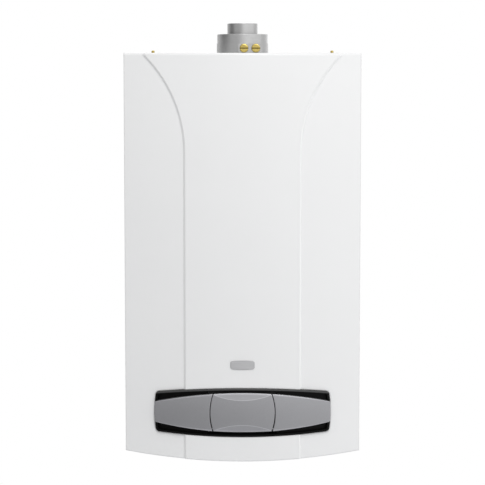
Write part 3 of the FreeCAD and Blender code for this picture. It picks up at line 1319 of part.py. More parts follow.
def filling_knob():
    boss_low = BLOCK_Z - BLOCK_RADIUS - FILL_STEM_RADIUS
    knob_top = TRAY_Z - BUTTON_RADIUS
    stem = rod(FILL_STEM_RADIUS, (FILL_X, -FILL_DEPTH, knob_top), Z, boss_low + BLOCK_RADIUS / 2 - knob_top)
    knob = rod(FILL_KNOB_RADIUS, (FILL_X, -FILL_DEPTH, knob_top), -Z, FILL_KNOB_HEIGHT)
    grooves = []
    for step in range(FILL_LOBES):
        angle = math.radians(step * 360 / FILL_LOBES)
        x = FILL_X + (FILL_KNOB_RADIUS + BUTTON_RADIUS / 2) * math.cos(angle)
        y = -FILL_DEPTH + (FILL_KNOB_RADIUS + BUTTON_RADIUS / 2) * math.sin(angle)
        grooves.append(rod(BUTTON_RADIUS, (x, y, knob_top - FILL_KNOB_HEIGHT), Z, FILL_KNOB_HEIGHT))
    return knob.cut(Part.makeCompound(grooves)).fuse(stem).removeSplitter()


def diverter_motor():
    half = DIVERTER_MOTOR_HALF
    back = DIVERTER_FACE
    front = back - DIVERTER_MOTOR_LENGTH
    body = rounded_block(DIVERTER_X - half, DIVERTER_X + half, front, back, BLOCK_Z - half,
                         BLOCK_Z + half, BOX_WALL * 2, Y)
    room = rod(SPINDLE_RADIUS + RUNNING_FIT, (DIVERTER_X, back - 2 * FOLD, BLOCK_Z), Y, 2 * FOLD)
    return body.cut(room)


def diverter_spindle():
    back = -TAIL_DEPTH
    start = DIVERTER_FACE - FOLD
    stem = rod(SPINDLE_RADIUS, (DIVERTER_X, start, BLOCK_Z), Y, back - start)
    head = rod(SPINDLE_HEAD_RADIUS, (DIVERTER_X, back - SPINDLE_HEAD_LENGTH, BLOCK_Z), Y, SPINDLE_HEAD_LENGTH)
    edges = [e for e in head.Edges if e.Curve.TypeId == "Part::GeomCircle"]
    head = head.makeFillet(BOX_WALL / 2, edges)
    return stem.fuse(head).removeSplitter()


def plate_exchanger():
    plates = []
    for step in range(PLATE_COUNT):
        lip = PLATE_LIP * (step % 2)
        length = PLATE_HALF_LENGTH - lip
        depth = PLATE_HALF_DEPTH - lip
        low = PORT_TOP + step * PLATE_PITCH
        plates.append(rounded_block(-length, length, -TAIL_DEPTH - depth, -TAIL_DEPTH + depth, low,
                                    low + PLATE_PITCH, FOLD, Z))
    return joined(plates)


def pump_housing():
    centre = (PIPE_X, -TAIL_DEPTH, PUMP_Z)
    half = PUMP_DEPTH / 2
    body = rod(PUMP_RADIUS, (PIPE_X, -TAIL_DEPTH - half, PUMP_Z), Y, PUMP_DEPTH)
    rear_edges = [e for e in body.Edges if e.BoundBox.YMin > half - TAIL_DEPTH - 0.01]
    body = body.makeFillet(BOX_WALL * 2, rear_edges)
    inlet = rod(PUMP_PORT_RADIUS, (PIPE_X, -TAIL_DEPTH, PORT_TOP), Z, PUMP_RADIUS)
    outlet = rod(PUMP_PORT_RADIUS, centre, Z, PUMP_PORT_TOP - PUMP_RADIUS)
    vent_x = PIPE_X - VENT_OFFSET
    boss = rod(VENT_BOSS_RADIUS, (vent_x, -TAIL_DEPTH, PUMP_Z), Z, PUMP_RADIUS)
    body = joined([body, inlet, outlet, boss])
    cavity = rod(PUMP_CAVITY, (PIPE_X, -TAIL_DEPTH - half, PUMP_Z), Y, PUMP_DEPTH - PUMP_WALL)
    return body.cut(cavity)


def pump_motor():
    back = -TAIL_DEPTH - PUMP_DEPTH / 2
    can = rod(PUMP_MOTOR_RADIUS, (PIPE_X, back, PUMP_Z), -Y, PUMP_MOTOR_LENGTH)
    front = back - PUMP_MOTOR_LENGTH
    can = can.makeFillet(BOX_WALL * 2, [e for e in can.Edges if e.BoundBox.YMax < front + 0.01])
    root = PUMP_MOTOR_RADIUS - BOX_WALL
    tip = PUMP_MOTOR_RADIUS + BOX_WALL
    ribs = []
    for step in range(PUMP_RIBS):
        rib = block(root, tip, front + FOLD, back - FOLD / 2, -PUMP_RIB_HALF, PUMP_RIB_HALF)
        rib.rotate(V(0, 0, 0), Y, step * 360 / PUMP_RIBS)
        rib.translate(V(PIPE_X, 0, PUMP_Z))
        ribs.append(rib)
    room = rod(PUMP_SHAFT_RADIUS + RUNNING_FIT, (PIPE_X, back, PUMP_Z), -Y, PUMP_MOTOR_LENGTH * 0.8)
    return joined([can] + ribs).cut(room)


def pump_rotor():
    back = -TAIL_DEPTH - PUMP_DEPTH / 2
    wheel_front = back + PUMP_WALL / 2
    shaft_end = back - PUMP_MOTOR_LENGTH * 0.7
    shaft = rod(PUMP_SHAFT_RADIUS, (0, shaft_end, 0), Y, wheel_front - shaft_end + PUMP_ROTOR_WIDTH)
    disc = rod(PUMP_ROTOR_RADIUS, (0, wheel_front, 0), Y, BOX_WALL)
    cover_front = (0, wheel_front + PUMP_ROTOR_WIDTH - BOX_WALL, 0)
    cover = ring(PUMP_ROTOR_RADIUS, PUMP_PORT_RADIUS, cover_front, Y, BOX_WALL)
    pieces = [shaft, disc, cover]
    inner = PUMP_PORT_RADIUS - BOX_WALL
    outer = PUMP_ROTOR_RADIUS - 1
    middle = (inner + outer) / 2
    vane = face(
        line((inner, 0, 0), (inner, 0, BOX_WALL)),
        arc((inner, 0, BOX_WALL), (middle, 0, 2 * BOX_WALL), (outer, 0, BOX_WALL)),
        line((outer, 0, BOX_WALL), (outer, 0, 0)),
        arc((outer, 0, 0), (middle, 0, BOX_WALL), (inner, 0, 0)),
    ).extrude(Y * PUMP_ROTOR_WIDTH)
    vane.translate(Y * wheel_front)
    for step in range(PUMP_VANES):
        turned = vane.copy()
        turned.rotate(V(0, 0, 0), Y, step * 360 / PUMP_VANES)
        pieces.append(turned)
    rotor = joined(pieces)
    rotor.translate(V(PIPE_X, 0, PUMP_Z))
    return rotor


def air_vent():
    low = PUMP_Z + PUMP_RADIUS
    x = PIPE_X - VENT_OFFSET
    body = rod(VENT_RADIUS, (x, -TAIL_DEPTH, low), Z, VENT_HEIGHT)
    body = body.makeFillet(BOX_WALL, [e for e in body.Edges if e.Curve.TypeId == "Part::GeomCircle"])
    cap = rod(BUTTON_RADIUS, (x, -TAIL_DEPTH, low + VENT_HEIGHT), Z, FOLD / 2)
    return body.fuse(cap).removeSplitter()


def flow_pipe():
    top = EXCHANGER_LOW + BOX_WALL
    return bent_pipe([
        (-PIPE_X, -COMBUSTION_MID, top),
        (-PIPE_X, -COMBUSTION_MID, PIPE_CROSS_Z),
        (-PIPE_X, -TAIL_DEPTH, PIPE_CROSS_Z),
        (-PIPE_X, -TAIL_DEPTH, PORT_TOP),
    ], PIPE_RADIUS, PIPE_BEND)


def return_pipe():
    top = EXCHANGER_LOW + BOX_WALL
    return bent_pipe([
        (PIPE_X, -COMBUSTION_MID, top),
        (PIPE_X, -COMBUSTION_MID, PIPE_CROSS_Z),
        (PIPE_X, -TAIL_DEPTH, PIPE_CROSS_Z),
        (PIPE_X, -TAIL_DEPTH, PUMP_Z + PUMP_PORT_TOP - PUMP_RADIUS),
    ], PIPE_RADIUS, PIPE_BEND)


def safety_valve():
    end = FLOW_BLOCK_END
    body = rod(SAFETY_RADIUS, (-end, -TAIL_DEPTH, BLOCK_Z), -X, SAFETY_LENGTH)
    spout = rod(SAFETY_RADIUS / 2, (-end - SAFETY_RADIUS, -TAIL_DEPTH, BLOCK_Z), -Z, BLOCK_RADIUS)
    pin = rod(SAFETY_PIN_RADIUS, (-end - SAFETY_LENGTH, -TAIL_DEPTH, BLOCK_Z), -X, SAFETY_CAP_LENGTH * 0.8)
    return joined([body, spout, pin])


def safety_cap():
    start = FLOW_BLOCK_END + SAFETY_LENGTH + BUTTON_CLEARANCE
    cap = rod(SAFETY_CAP_RADIUS, (-start, -TAIL_DEPTH, BLOCK_Z), -X, SAFETY_CAP_LENGTH)
    grooves = []
    for step in range(8):
        groove = rod(BOX_WALL, (-start, SAFETY_CAP_RADIUS, 0), -X, SAFETY_CAP_LENGTH)
        groove.rotate(V(0, 0, 0), X, step * 45)
        groove.translate(V(0, -TAIL_DEPTH, BLOCK_Z))
        grooves.append(groove)
    socket = rod(SAFETY_PIN_RADIUS + RUNNING_FIT, (-start, -TAIL_DEPTH, BLOCK_Z), -X, SAFETY_CAP_LENGTH * 0.8)
    return cap.cut(Part.makeCompound(grooves)).cut(socket)


# Gas side
def gas_valve():
    body = rounded_block(-VALVE_HALF_WIDTH, VALVE_HALF_WIDTH, -VALVE_HALF_DEPTH, VALVE_HALF_DEPTH,
                         VALVE_LOW + FOLD / 2, VALVE_TOP - FOLD / 2, BOX_WALL * 2, Z)
    half = VALVE_HALF_DEPTH / 1.5
    flange = rounded_block(-half, half, -half, half, VALVE_LOW, VALVE_TOP, BOX_WALL * 2, Z)
    body.translate(Y * -VALVE_DEPTH)
    flange.translate(Y * -VALVE_DEPTH)
    z = (VALVE_LOW + VALVE_TOP) / 2
    coils = []
    for side in (-1, 1):
        start = (side * VALVE_HALF_WIDTH, -VALVE_DEPTH, z)
        coil = rod(VALVE_COIL_RADIUS, start, X * side, VALVE_COIL_LENGTH)
        end = [e for e in coil.Edges if abs(e.BoundBox.Center.x) > VALVE_HALF_WIDTH + VALVE_COIL_LENGTH - 1]
        coils.append(coil.makeFillet(BOX_WALL, end))
    return joined([body, flange] + coils)


def gas_pipes():
    elbow_z = BLOCK_Z
    feed_y = MANIFOLD_BACK - MANIFOLD_SIZE / 2
    lower = bent_pipe([
        (0, -TAIL_DEPTH, TRAY_TOP + TAIL_COLLAR),
        (0, -TAIL_DEPTH, elbow_z),
        (0, -VALVE_DEPTH, elbow_z),
        (0, -VALVE_DEPTH, VALVE_LOW),
    ], PIPE_RADIUS, PIPE_BEND)
    lower = lower.fuse(tail(0, LARGE_TAIL_RADIUS, TRAY_TOP + TAIL_COLLAR)).removeSplitter()
    upper = bent_pipe([
        (0, -VALVE_DEPTH, VALVE_TOP),
        (0, -VALVE_DEPTH, PIPE_CROSS_Z),
        (0, feed_y, PIPE_CROSS_Z),
        (0, feed_y, MANIFOLD_Z - MANIFOLD_SIZE / 2),
    ], PIPE_RADIUS, PIPE_RADIUS * 2)
    return Part.makeCompound([lower, upper])


# Pressure gauge
def gauge_low():
    return TRAY_Z - GAUGE_PROUD


def gauge_case():
    low = gauge_low()
    centre = (GAUGE_X, -GAUGE_DEPTH, low)
    body = rod(GAUGE_RADIUS, centre, Z, GAUGE_HEIGHT)
    flange = rod(GAUGE_RADIUS + GAUGE_FLANGE, (GAUGE_X, -GAUGE_DEPTH, TRAY_TOP), Z, GAUGE_WALL)
    body = body.fuse(flange)
    bowl_radius = GAUGE_RADIUS - GAUGE_WALL
    body = body.cut(rod(bowl_radius, centre, Z, GLASS_THICK))
    body = body.cut(rod(bowl_radius - GAUGE_WALL / 2, centre, Z, GAUGE_HEIGHT - GAUGE_WALL))
    pin_low = low + GLASS_THICK + 2 * NEEDLE_THICK
    pin = rod(GAUGE_PIN_RADIUS, (GAUGE_X, -GAUGE_DEPTH, pin_low), Z, low + GAUGE_HEIGHT - pin_low)
    return body.fuse(pin).removeSplitter()


def gauge_needle():
    z = gauge_low() + GLASS_THICK + 3 * NEEDLE_THICK
    hub = rod(2.5 * GAUGE_PIN_RADIUS, (GAUGE_X, -GAUGE_DEPTH, z), Z, 3 * NEEDLE_THICK)
    tip = GAUGE_X - NEEDLE_LENGTH * math.cos(math.radians(45))
    tip_y = -GAUGE_DEPTH - NEEDLE_LENGTH * math.sin(math.radians(45))
    wide = GAUGE_PIN_RADIUS
    pointer = plate([
        (GAUGE_X - wide, -GAUGE_DEPTH + wide, z),
        (GAUGE_X + wide, -GAUGE_DEPTH - wide, z),
        (tip, tip_y, z),
    ]).extrude(Z * NEEDLE_THICK)
    needle = hub.fuse(pointer).removeSplitter()
    return needle.cut(rod(GAUGE_PIN_RADIUS + RUNNING_FIT, (GAUGE_X, -GAUGE_DEPTH, z), Z, 4 * NEEDLE_THICK))


def gauge_glass():
    radius = GAUGE_RADIUS - GAUGE_WALL - BUTTON_CLEARANCE / 2
    return rod(radius, (GAUGE_X, -GAUGE_DEPTH, gauge_low()), Z, GLASS_THICK)


# Every piece of the boiler by its node name
def boiler():
    wing = panel_wing()
    panel = side_panel()
    pieces = {
        "back_frame": back_frame(),
        "side_panel_left": mirrored(panel),
        "side_panel_right": panel,
        "top_plate": top_plate(),
        "bottom_tray": bottom_tray(),
        "front_cover": front_cover(),
        "front_badge": front_badge(),
        "top_screws": top_screws(),
        "tray_screws": tray_screws(),
        "panel_bezel": panel_bezel(),
        "panel_wing_left": mirrored(wing),
        "panel_wing_right": wing,
        "control_flap": control_flap(),
        "control_fascia": control_fascia(),
        "display_window": display_window(),
        "control_box": control_box(),
        "control_box_lid": control_box_lid(),
        "control_board": control_board(),
        "flue_adaptor": flue_adaptor(),
        "test_plugs": test_plugs(),
        "exhaust_pipe": exhaust_pipe(),
        "sealed_chamber": sealed_chamber(),
        "chamber_seal": chamber_seal(),
        "chamber_lid": chamber_lid(),
        "combustion_box": combustion_box(),
        "insulation_panels": insulation_panels(),
        "burner": burner(),
        "burner_manifold": burner_manifold(),
        "electrodes": electrodes(),
        "heat_exchanger": heat_exchanger(),
        "flue_hood": flue_hood(),
        "fan_housing": fan_housing(),
        "fan_impeller": fan_impeller(),
        "fan_motor": fan_motor(),
        "air_switch": air_switch(),
        "expansion_vessel": expansion_vessel(),
        "flow_block": flow_block(),
        "return_block": return_block(),
        "filling_knob": filling_knob(),
        "diverter_motor": diverter_motor(),
        "diverter_spindle": diverter_spindle(),
        "plate_exchanger": plate_exchanger(),
        "pump_housing": pump_housing(),
        "pump_motor": pump_motor(),
        "pump_rotor": pump_rotor(),
        "air_vent": air_vent(),
        "flow_pipe": flow_pipe(),
        "return_pipe": return_pipe(),
        "safety_valve": safety_valve(),
        "safety_cap": safety_cap(),
        "gas_valve": gas_valve(),
        "gas_pipes": gas_pipes(),
        "gauge_case": gauge_case(),
        "gauge_needle": gauge_needle(),
        "gauge_glass": gauge_glass(),
    }
    for name, place in zip(BUTTON_NAMES, button_places()):
        pieces[name + "_button"] = push_button(place)
    return pieces


os.makedirs("parts", exist_ok=True)
for node, shape in boiler().items():
    shape.exportStep("parts/" + node + ".step")
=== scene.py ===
import json
import math

import bpy
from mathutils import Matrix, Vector


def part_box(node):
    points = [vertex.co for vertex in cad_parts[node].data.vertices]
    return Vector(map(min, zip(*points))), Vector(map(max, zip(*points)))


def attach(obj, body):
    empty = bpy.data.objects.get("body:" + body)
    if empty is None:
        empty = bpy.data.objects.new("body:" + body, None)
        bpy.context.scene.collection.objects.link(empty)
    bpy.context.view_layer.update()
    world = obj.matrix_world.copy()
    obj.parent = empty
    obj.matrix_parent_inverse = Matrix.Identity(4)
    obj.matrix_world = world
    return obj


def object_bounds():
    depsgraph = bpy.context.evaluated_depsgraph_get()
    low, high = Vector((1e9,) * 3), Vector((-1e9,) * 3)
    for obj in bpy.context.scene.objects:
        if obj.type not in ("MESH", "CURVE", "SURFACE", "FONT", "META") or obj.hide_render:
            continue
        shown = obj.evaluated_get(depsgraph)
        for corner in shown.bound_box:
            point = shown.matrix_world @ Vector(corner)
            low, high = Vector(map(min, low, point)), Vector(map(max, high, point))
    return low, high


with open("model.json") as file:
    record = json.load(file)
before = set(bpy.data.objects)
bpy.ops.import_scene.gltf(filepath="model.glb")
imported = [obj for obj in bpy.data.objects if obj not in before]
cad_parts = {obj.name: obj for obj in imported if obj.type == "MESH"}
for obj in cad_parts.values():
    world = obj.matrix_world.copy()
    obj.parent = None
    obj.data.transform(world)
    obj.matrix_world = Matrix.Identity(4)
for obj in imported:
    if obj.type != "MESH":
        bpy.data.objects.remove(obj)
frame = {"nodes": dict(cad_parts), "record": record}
CAD_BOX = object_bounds()
NODES = frame["nodes"]
SLOT_OF = {row["node"]: row["material_slot"] for row in frame["record"]["subparts"]}

# Camera: level with the top of the casing, a little over three and a half metres away
IMAGE_PIXELS = 485
FOCAL_PIXELS = 1895
FOCAL_PER_IMAGE = FOCAL_PIXELS / IMAGE_PIXELS
SENSOR_MM = 36.0
CAMERA_REACH = 3.6
CAMERA_PITCH = math.radians(5.715)
CORNER_BACKSET = 0.031

# Room: the boiler hangs at working height over the floor
FLOOR_DROP = 1.0
FLOOR_SIZE = 5.0
FLOOR_FADE = (1.7, 2.45)
FLOOR_COLOUR = (0.94, 0.95, 0.975, 1)
WORLD_FILL = 0.63
WORLD_SIDE = 0.15

# Ways on the floor plan to what the flue mirrors, x to the right and y to the back
LEFT_PANEL_WAY = (-0.8, -0.6)
DARK_FLAG_WAY = (-1.0, -0.05)
RIGHT_FLAG_WAY = (0.87, 0.5)

# Prints: how far they stand out, and which way they face
PRINT_LIFT = 0.00012
FACING_FRONT = (math.pi / 2, 0, 0)
FACING_DOWN = (math.pi, 0, 0)

# Marks on the buttons and the fascia
MARK_REACH = 0.0052
MARK_CELLS = 5
POWER_RING_SHARE = 0.76
POWER_RING_GAP = MARK_REACH / 5
POWER_BAR_RISE = MARK_REACH * 0.24
POWER_BAR_SCALE = (0.13, 0.52, 1)
ICON_REACH = 0.0066
ICON_CELLS = 7
RADIATOR_RAIL_ROW = 2
DROP_RADIUS = ICON_REACH / 3
DROP_TIP_START = ICON_REACH * 0.33
DROP_TIP_LIFT = ICON_REACH * 0.4

# Threads on the connection tails
MM_PER_METRE = 1000
THREAD_PITCH = 0.0018
THREAD_HEIGHT = 0.0006
THREAD_SINK = THREAD_HEIGHT * 0.35
THREAD_TURNS = 10
THREAD_STEPS = 40

# Dial of the pressure gauge
GAUGE_FULL_SCALE = 4
GAUGE_TICKS_PER_UNIT = 4
GAUGE_START = math.radians(-135)
GAUGE_SWEEP = math.radians(270)
DIAL_RADIUS = 0.0222
DIAL_HOLE = 0.0012
DIAL_OVER_GLASS = 0.0057
PLATE_THICK = 0.0008
TICK_RING = DIAL_RADIUS * 0.95
TICK_LENGTH = 0.0036
TICK_WIDTH = 0.0007
NUMBER_SIZE = 0.0062
NUMBER_RING_SHARE = 0.62

# Display behind the window of the fascia
CELL_THICK = 0.002
CELL_GAP = 0.0003
CELL_MARGIN = 0.001
CELL_BEVEL = 0.0004
DIGIT_WIDTH = 0.0075
DIGIT_PITCH = 0.0125
DIGIT_STROKE = 0.0009
DIGIT_BAR_HALF = DIGIT_WIDTH * 0.48
DEGREE_RADIUS = DIGIT_STROKE * 1.6
DEGREE_HOLE_SHARE = 0.55
DEGREE_CORNERS = 24
DEGREE_SHIFT = Vector((1.15 * DIGIT_PITCH, 0, DIGIT_WIDTH * 0.8))

# Bars lit in the two figures of the display: x and z in half digit widths, and whether the bar stands
UPPER_LEFT = (-1, 1, True)
UPPER_RIGHT = (1, 1, True)
LOWER_LEFT = (-1, -1, True)
LOWER_RIGHT = (1, -1, True)
TOP_BAR = (0, 2, False)
MIDDLE_BAR = (0, 0, False)
LOW_BAR = (0, -2, False)
SIX = (TOP_BAR, UPPER_LEFT, MIDDLE_BAR, LOWER_LEFT, LOWER_RIGHT, LOW_BAR)
NOUGHT = (TOP_BAR, UPPER_LEFT, UPPER_RIGHT, LOWER_LEFT, LOWER_RIGHT, LOW_BAR)
DIGIT_BARS = (SIX, NOUGHT)

# Masks that follow the panel's curves, for painted highlights on the lens and on the bezel's upper lip
PANEL_MIDDLE = sum(corner.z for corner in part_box("panel_bezel")) / 2
LENS_HALF_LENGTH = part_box("panel_wing_right")[1].x
LENS_MID_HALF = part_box("panel_wing_right")[1].z - PANEL_MIDDLE
LENS_END_HALF = 0.0195
# Widths and strengths of the painted highlight lines on the lens rim and the scoop arcs
LENS_RIM = 0.0009
LENS_RIM_HIGHLIGHT = 0.35
SCOOP_NEAR = 0.024
SCOOP_FAR = 0.0335
SCOOP_HALF = 0.052
SCOOP_LINE = 0.0005
SCOOP_HIGHLIGHT = 0.6
BEZEL_MID_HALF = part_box("panel_bezel")[1].z - PANEL_MIDDLE
BEZEL_END_DROP = 0.0087
BEZEL_EDGE_BEND = BEZEL_END_DROP / LENS_HALF_LENGTH ** 2
# Depth and width of the painted highlight along the bezel's upper lip
LIP_DEPTH = 0.003
LIP_WIDTH = 0.0034
FRONT_BOW_RADIUS = 0.923

# Softened edges, relief and borders in the finishes
PAINT_EDGE_ROUND = 0.0035
LENS_EDGE_ROUND = 0.002
FINE_RELIEF = 0.00005
COMMON_RELIEF = 0.0001
ROUGH_RELIEF = 0.0004
FIBRE_RELIEF = 0.001
# Half width of the painted shade in the plugs' screwdriver slots
PLUG_SLOT_HALF = 0.00108
BADGE_FRAME = 0.0012
TRACK_REACH = 0.22


class Signal:
    """A shader socket that turns Python expressions into Math nodes."""

    def __init__(self, finish, socket):
        self.finish = finish
        self.socket = socket

    def calc(self, operation, first, second):
        return self.finish.node("ShaderNodeMath", {"operation": operation}, {0: first, 1: second})

    def __add__(self, other):
        return self.calc("ADD", self, other)

    def __sub__(self, other):
        return self.calc("SUBTRACT", self, other)

    def __rsub__(self, other):
        return self.calc("SUBTRACT", other, self)

    def __mul__(self, other):
        return self.calc("MULTIPLY", self, other)

    def __truediv__(self, other):
        return self.calc("DIVIDE", self, other)

    def __lt__(self, other):
        return self.calc("LESS_THAN", self, other)

    def __gt__(self, other):
        return self.calc("GREATER_THAN", self, other)

    def absolute(self):
        return self.calc("ABSOLUTE", self, 0)

    __radd__ = __add__
    __rmul__ = __mul__


class Finish:
    """A material or world under construction, with one method that adds any node."""

    def __init__(self, owner, coordinates="Object"):
        self.owner = owner
        owner.use_nodes = True
        self.tree = owner.node_tree
        self.tree.nodes.clear()
        self.place = self.node("ShaderNodeTexCoord", output=coordinates)

    def node(self, kind, settings=None, sockets=None, output=0):
        made = self.tree.nodes.new(kind)
        for key, value in (settings or {}).items():
            if key == "stops":
                self.set_stops(made.color_ramp, value)
            else:
                setattr(made, key, value)
        for key, value in (sockets or {}).items():
            if isinstance(value, Signal):
                self.tree.links.new(value.socket, made.inputs[key])
            else:
                made.inputs[key].default_value = value
        return Signal(self, made.outputs[output])

    def set_stops(self, ramp, stops):
        while len(ramp.elements) < len(stops):
            ramp.elements.new(1.0)
        for element, (position, colour) in zip(ramp.elements, stops):
            element.position = position
            element.color = colour

    def axis(self, letter):
        return self.node("ShaderNodeSeparateXYZ", None, {0: self.place}, letter)

    def stretched(self, scale):
        return self.node("ShaderNodeMapping", None, {"Vector": self.place, "Scale": scale})

    def noise(self, scale, detail, place=None):
        sockets = {"Vector": place or self.place, "Scale": scale, "Detail": detail}
        return self.node("ShaderNodeTexNoise", None, sockets)

    def cells(self, scale, output="Color", place=None):
        sockets = {"Vector": place or self.place, "Scale": scale}
        return self.node("ShaderNodeTexVoronoi", None, sockets, output)

    def blend(self, mask, first, second):
        return self.node("ShaderNodeMix", {"data_type": "RGBA"}, {0: mask, 6: first, 7: second}, 2)

    def ramp(self, value, *stops):
        return self.node("ShaderNodeValToRGB", {"stops": stops}, {0: value})

    def bump(self, height, distance, strength, edge_round=0.0):
        sockets = {"Height": height, "Distance": distance, "Strength": strength}
        if edge_round:
            sockets["Normal"] = self.node("ShaderNodeBevel", {"samples": 6}, {"Radius": edge_round})
        return self.node("ShaderNodeBump", None, sockets)

    def surface(self, shader, kind="ShaderNodeOutputMaterial"):
        output = self.tree.nodes.new(kind)
        self.tree.links.new(shader.socket, output.inputs["Surface"])
        return self.owner

    def principled(self, sockets):
        return self.surface(self.node("ShaderNodeBsdfPrincipled", None, sockets))


def tinted(colour, share):
    return (colour[0] * share, colour[1] * share, colour[2] * share, 1)


# Painted and coated sheet
def powder_coat(name, colour, peel=700, gloss=0.36):
    finish = Finish(bpy.data.materials.new(name))
    cloud = finish.noise(scale=9, detail=3)
    peel_height = finish.noise(scale=peel, detail=1)
    sheet_wave = finish.noise(scale=3.5, detail=1)
    height = peel_height * 0.3 + sheet_wave * 6
    return finish.principled({
        "Base Color": finish.blend(cloud, tinted(colour, 0.985), tinted(colour, 1.01)),
        "Roughness": gloss + cloud * 0.06,
        "Normal": finish.bump(height, COMMON_RELIEF, strength=0.35, edge_round=PAINT_EDGE_ROUND),
        "Coat Weight": 0.25,
        "Coat Roughness": 0.2,
    })


def zinc_sheet(name):
    finish = Finish(bpy.data.materials.new(name))
    spangle = finish.cells(scale=150)
    crystal = finish.node("ShaderNodeSeparateColor", None, {0: spangle})
    stain = finish.noise(scale=7, detail=4)
    frost = finish.noise(scale=500, detail=2)
    dull = (0.2, (0.45, 0.46, 0.47, 1))
    plain = (0.55, (0.53, 0.54, 0.55, 1))
    bright = (0.85, (0.6, 0.61, 0.62, 1))
    return finish.principled({
        "Base Color": finish.ramp(crystal * 0.5 + stain * 0.5, dull, plain, bright),
        "Metallic": 0.85,
        "Roughness": 0.34 + crystal * 0.1 + stain * 0.1,
        "Normal": finish.bump(crystal * 0.4 + frost * 0.3, COMMON_RELIEF, strength=0.25),
    })


# Metals
def worked_metal(name, dark, light, roughness, scratch_scale):
    finish = Finish(bpy.data.materials.new(name))
    scratches = finish.noise(scale=1, detail=3, place=finish.stretched(scratch_scale))
    patina = finish.noise(scale=45, detail=3)
    return finish.principled({
        "Base Color": finish.blend(scratches * 0.5 + patina * 0.5, dark + (1,), light + (1,)),
        "Metallic": 1.0,
        "Roughness": roughness + scratches * 0.14,
        "Normal": finish.bump(scratches + patina * 0.3, COMMON_RELIEF, strength=0.3),
    })


def slotted_brass(name):
    """Turned brass, with painted shade darkening the screwdriver slot of each plug."""
    finish = Finish(bpy.data.materials.new(name))
    low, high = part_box("test_plugs")
    above_slot = (finish.axis("Z") - (low.z + high.z) / 2).absolute()
    # The slot mask marks where painted shade darkens the brass inside the screwdriver slot
    slot = (above_slot < PLUG_SLOT_HALF) * (finish.axis("Y") > low.y + PLUG_SLOT_HALF / 3)
    turned = finish.noise(scale=300, detail=3)
    metal = finish.blend(turned, (0.42, 0.32, 0.09, 1), (0.7, 0.55, 0.18, 1))
    return finish.principled({
        "Base Color": finish.blend(slot, metal, (0.1, 0.075, 0.02, 1)),
        "Metallic": 1.0,
        "Roughness": 0.27 + turned * 0.12,
        "Normal": finish.bump(turned, COMMON_RELIEF, strength=0.3),
    })


def cast_iron(name, colour):
    finish = Finish(bpy.data.materials.new(name))
    sand = finish.noise(scale=420, detail=4)
    shade = finish.noise(scale=30, detail=3)
    return finish.principled({
        "Base Color": finish.blend(shade, tinted(colour, 0.8), tinted(colour, 1.25)),
        "Roughness": 0.5 + sand * 0.2,
        "Normal": finish.bump(sand, ROUGH_RELIEF, strength=0.5),
        "Coat Weight": 0.15,
    })


# Plastics
def moulded(name, colour, grain=900, roughness=0.42):
    finish = Finish(bpy.data.materials.new(name))
    texture = finish.noise(scale=grain, detail=2)
    flow = finish.noise(scale=12, detail=2)
    return finish.principled({
        "Base Color": finish.blend(flow, tinted(colour, 0.92), tinted(colour, 1.08)),
        "Roughness": roughness + texture * 0.12,
        "Normal": finish.bump(texture, COMMON_RELIEF, strength=0.3),
    })


def bezel_black(name, colour, lip_highlight_colour):
    """Deep black, with a painted highlight: a lighter lip along the front of the upper edge, where
    light from above would catch it.
    """
    finish = Finish(bpy.data.materials.new(name))
    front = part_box("panel_bezel")[0].y
    across = finish.axis("X")
    depth = finish.axis("Y") - front - across * across / (2 * FRONT_BOW_RADIUS)
    upper_edge = BEZEL_MID_HALF - across * across * BEZEL_EDGE_BEND
    # The lip mask marks where a painted highlight lightens the front of the upper edge
    lip_highlight = (depth < LIP_DEPTH) * (finish.axis("Z") - PANEL_MIDDLE > upper_edge - LIP_WIDTH)
    grain = finish.noise(scale=900, detail=2)
    return finish.principled({
        "Base Color": finish.blend(lip_highlight, colour + (1,), lip_highlight_colour + (1,)),
        "Roughness": 0.34 + grain * 0.1,
        "Specular IOR Level": 0.1,
        "Coat Weight": lip_highlight * 0.25,
        "Coat Roughness": 0.3,
        "Normal": finish.bump(grain, COMMON_RELIEF, strength=0.25),
    })


def silver_lacquer(name, colour):
    finish = Finish(bpy.data.materials.new(name))
    flake = finish.cells(scale=2600)
    sparkle = finish.node("ShaderNodeSeparateColor", None, {0: flake})
    drift = finish.noise(scale=14, detail=2)
    paint = finish.blend(sparkle * 0.7 + drift * 0.3, tinted(colour, 0.9), tinted(colour, 1.1))
    return finish.principled({
        # The paint is lightened along the lens rim and the scoop arcs as painted highlights
        "Base Color": finish.blend(polished_lines(finish), paint, tinted(colour, 1.9)),
        "Metallic": 0.6,
        "Roughness": 0.34 + sparkle * 0.08,
        "Normal": finish.bump(sparkle, FINE_RELIEF, strength=0.25, edge_round=LENS_EDGE_ROUND),
        "Coat Weight": 0.3,
        "Coat Roughness": 0.25,
    })


def polished_lines(finish):
    """Painted highlights on the grey lens: a light line along its rim, and along the two arcs where the
    flap's finger scoops begin.
    """
    across = finish.axis("X")
    square = across * across
    height = (finish.axis("Z") - PANEL_MIDDLE).absolute()
    rim = LENS_MID_HALF - square * ((LENS_MID_HALF - LENS_END_HALF) / LENS_HALF_LENGTH ** 2)
    arc = SCOOP_NEAR + square * ((SCOOP_FAR - SCOOP_NEAR) / SCOOP_HALF ** 2)
    on_rim = height > rim - LENS_RIM
    on_arc = ((height - arc).absolute() < SCOOP_LINE) * (across.absolute() < SCOOP_HALF)
    return on_rim * LENS_RIM_HIGHLIGHT + on_arc * SCOOP_HIGHLIGHT


def clear_plastic(name, colour):
    finish = Finish(bpy.data.materials.new(name))
    smear = finish.noise(scale=60, detail=3)
    return finish.principled({
        "Base Color": finish.blend(smear, tinted(colour, 0.95), tinted(colour, 1.0)),
        "Roughness": 0.05 + smear * 0.06,
        "Alpha": 0.1 + smear * 0.06,
        "IOR": 1.49,
        "Coat Weight": 0.6,
    })


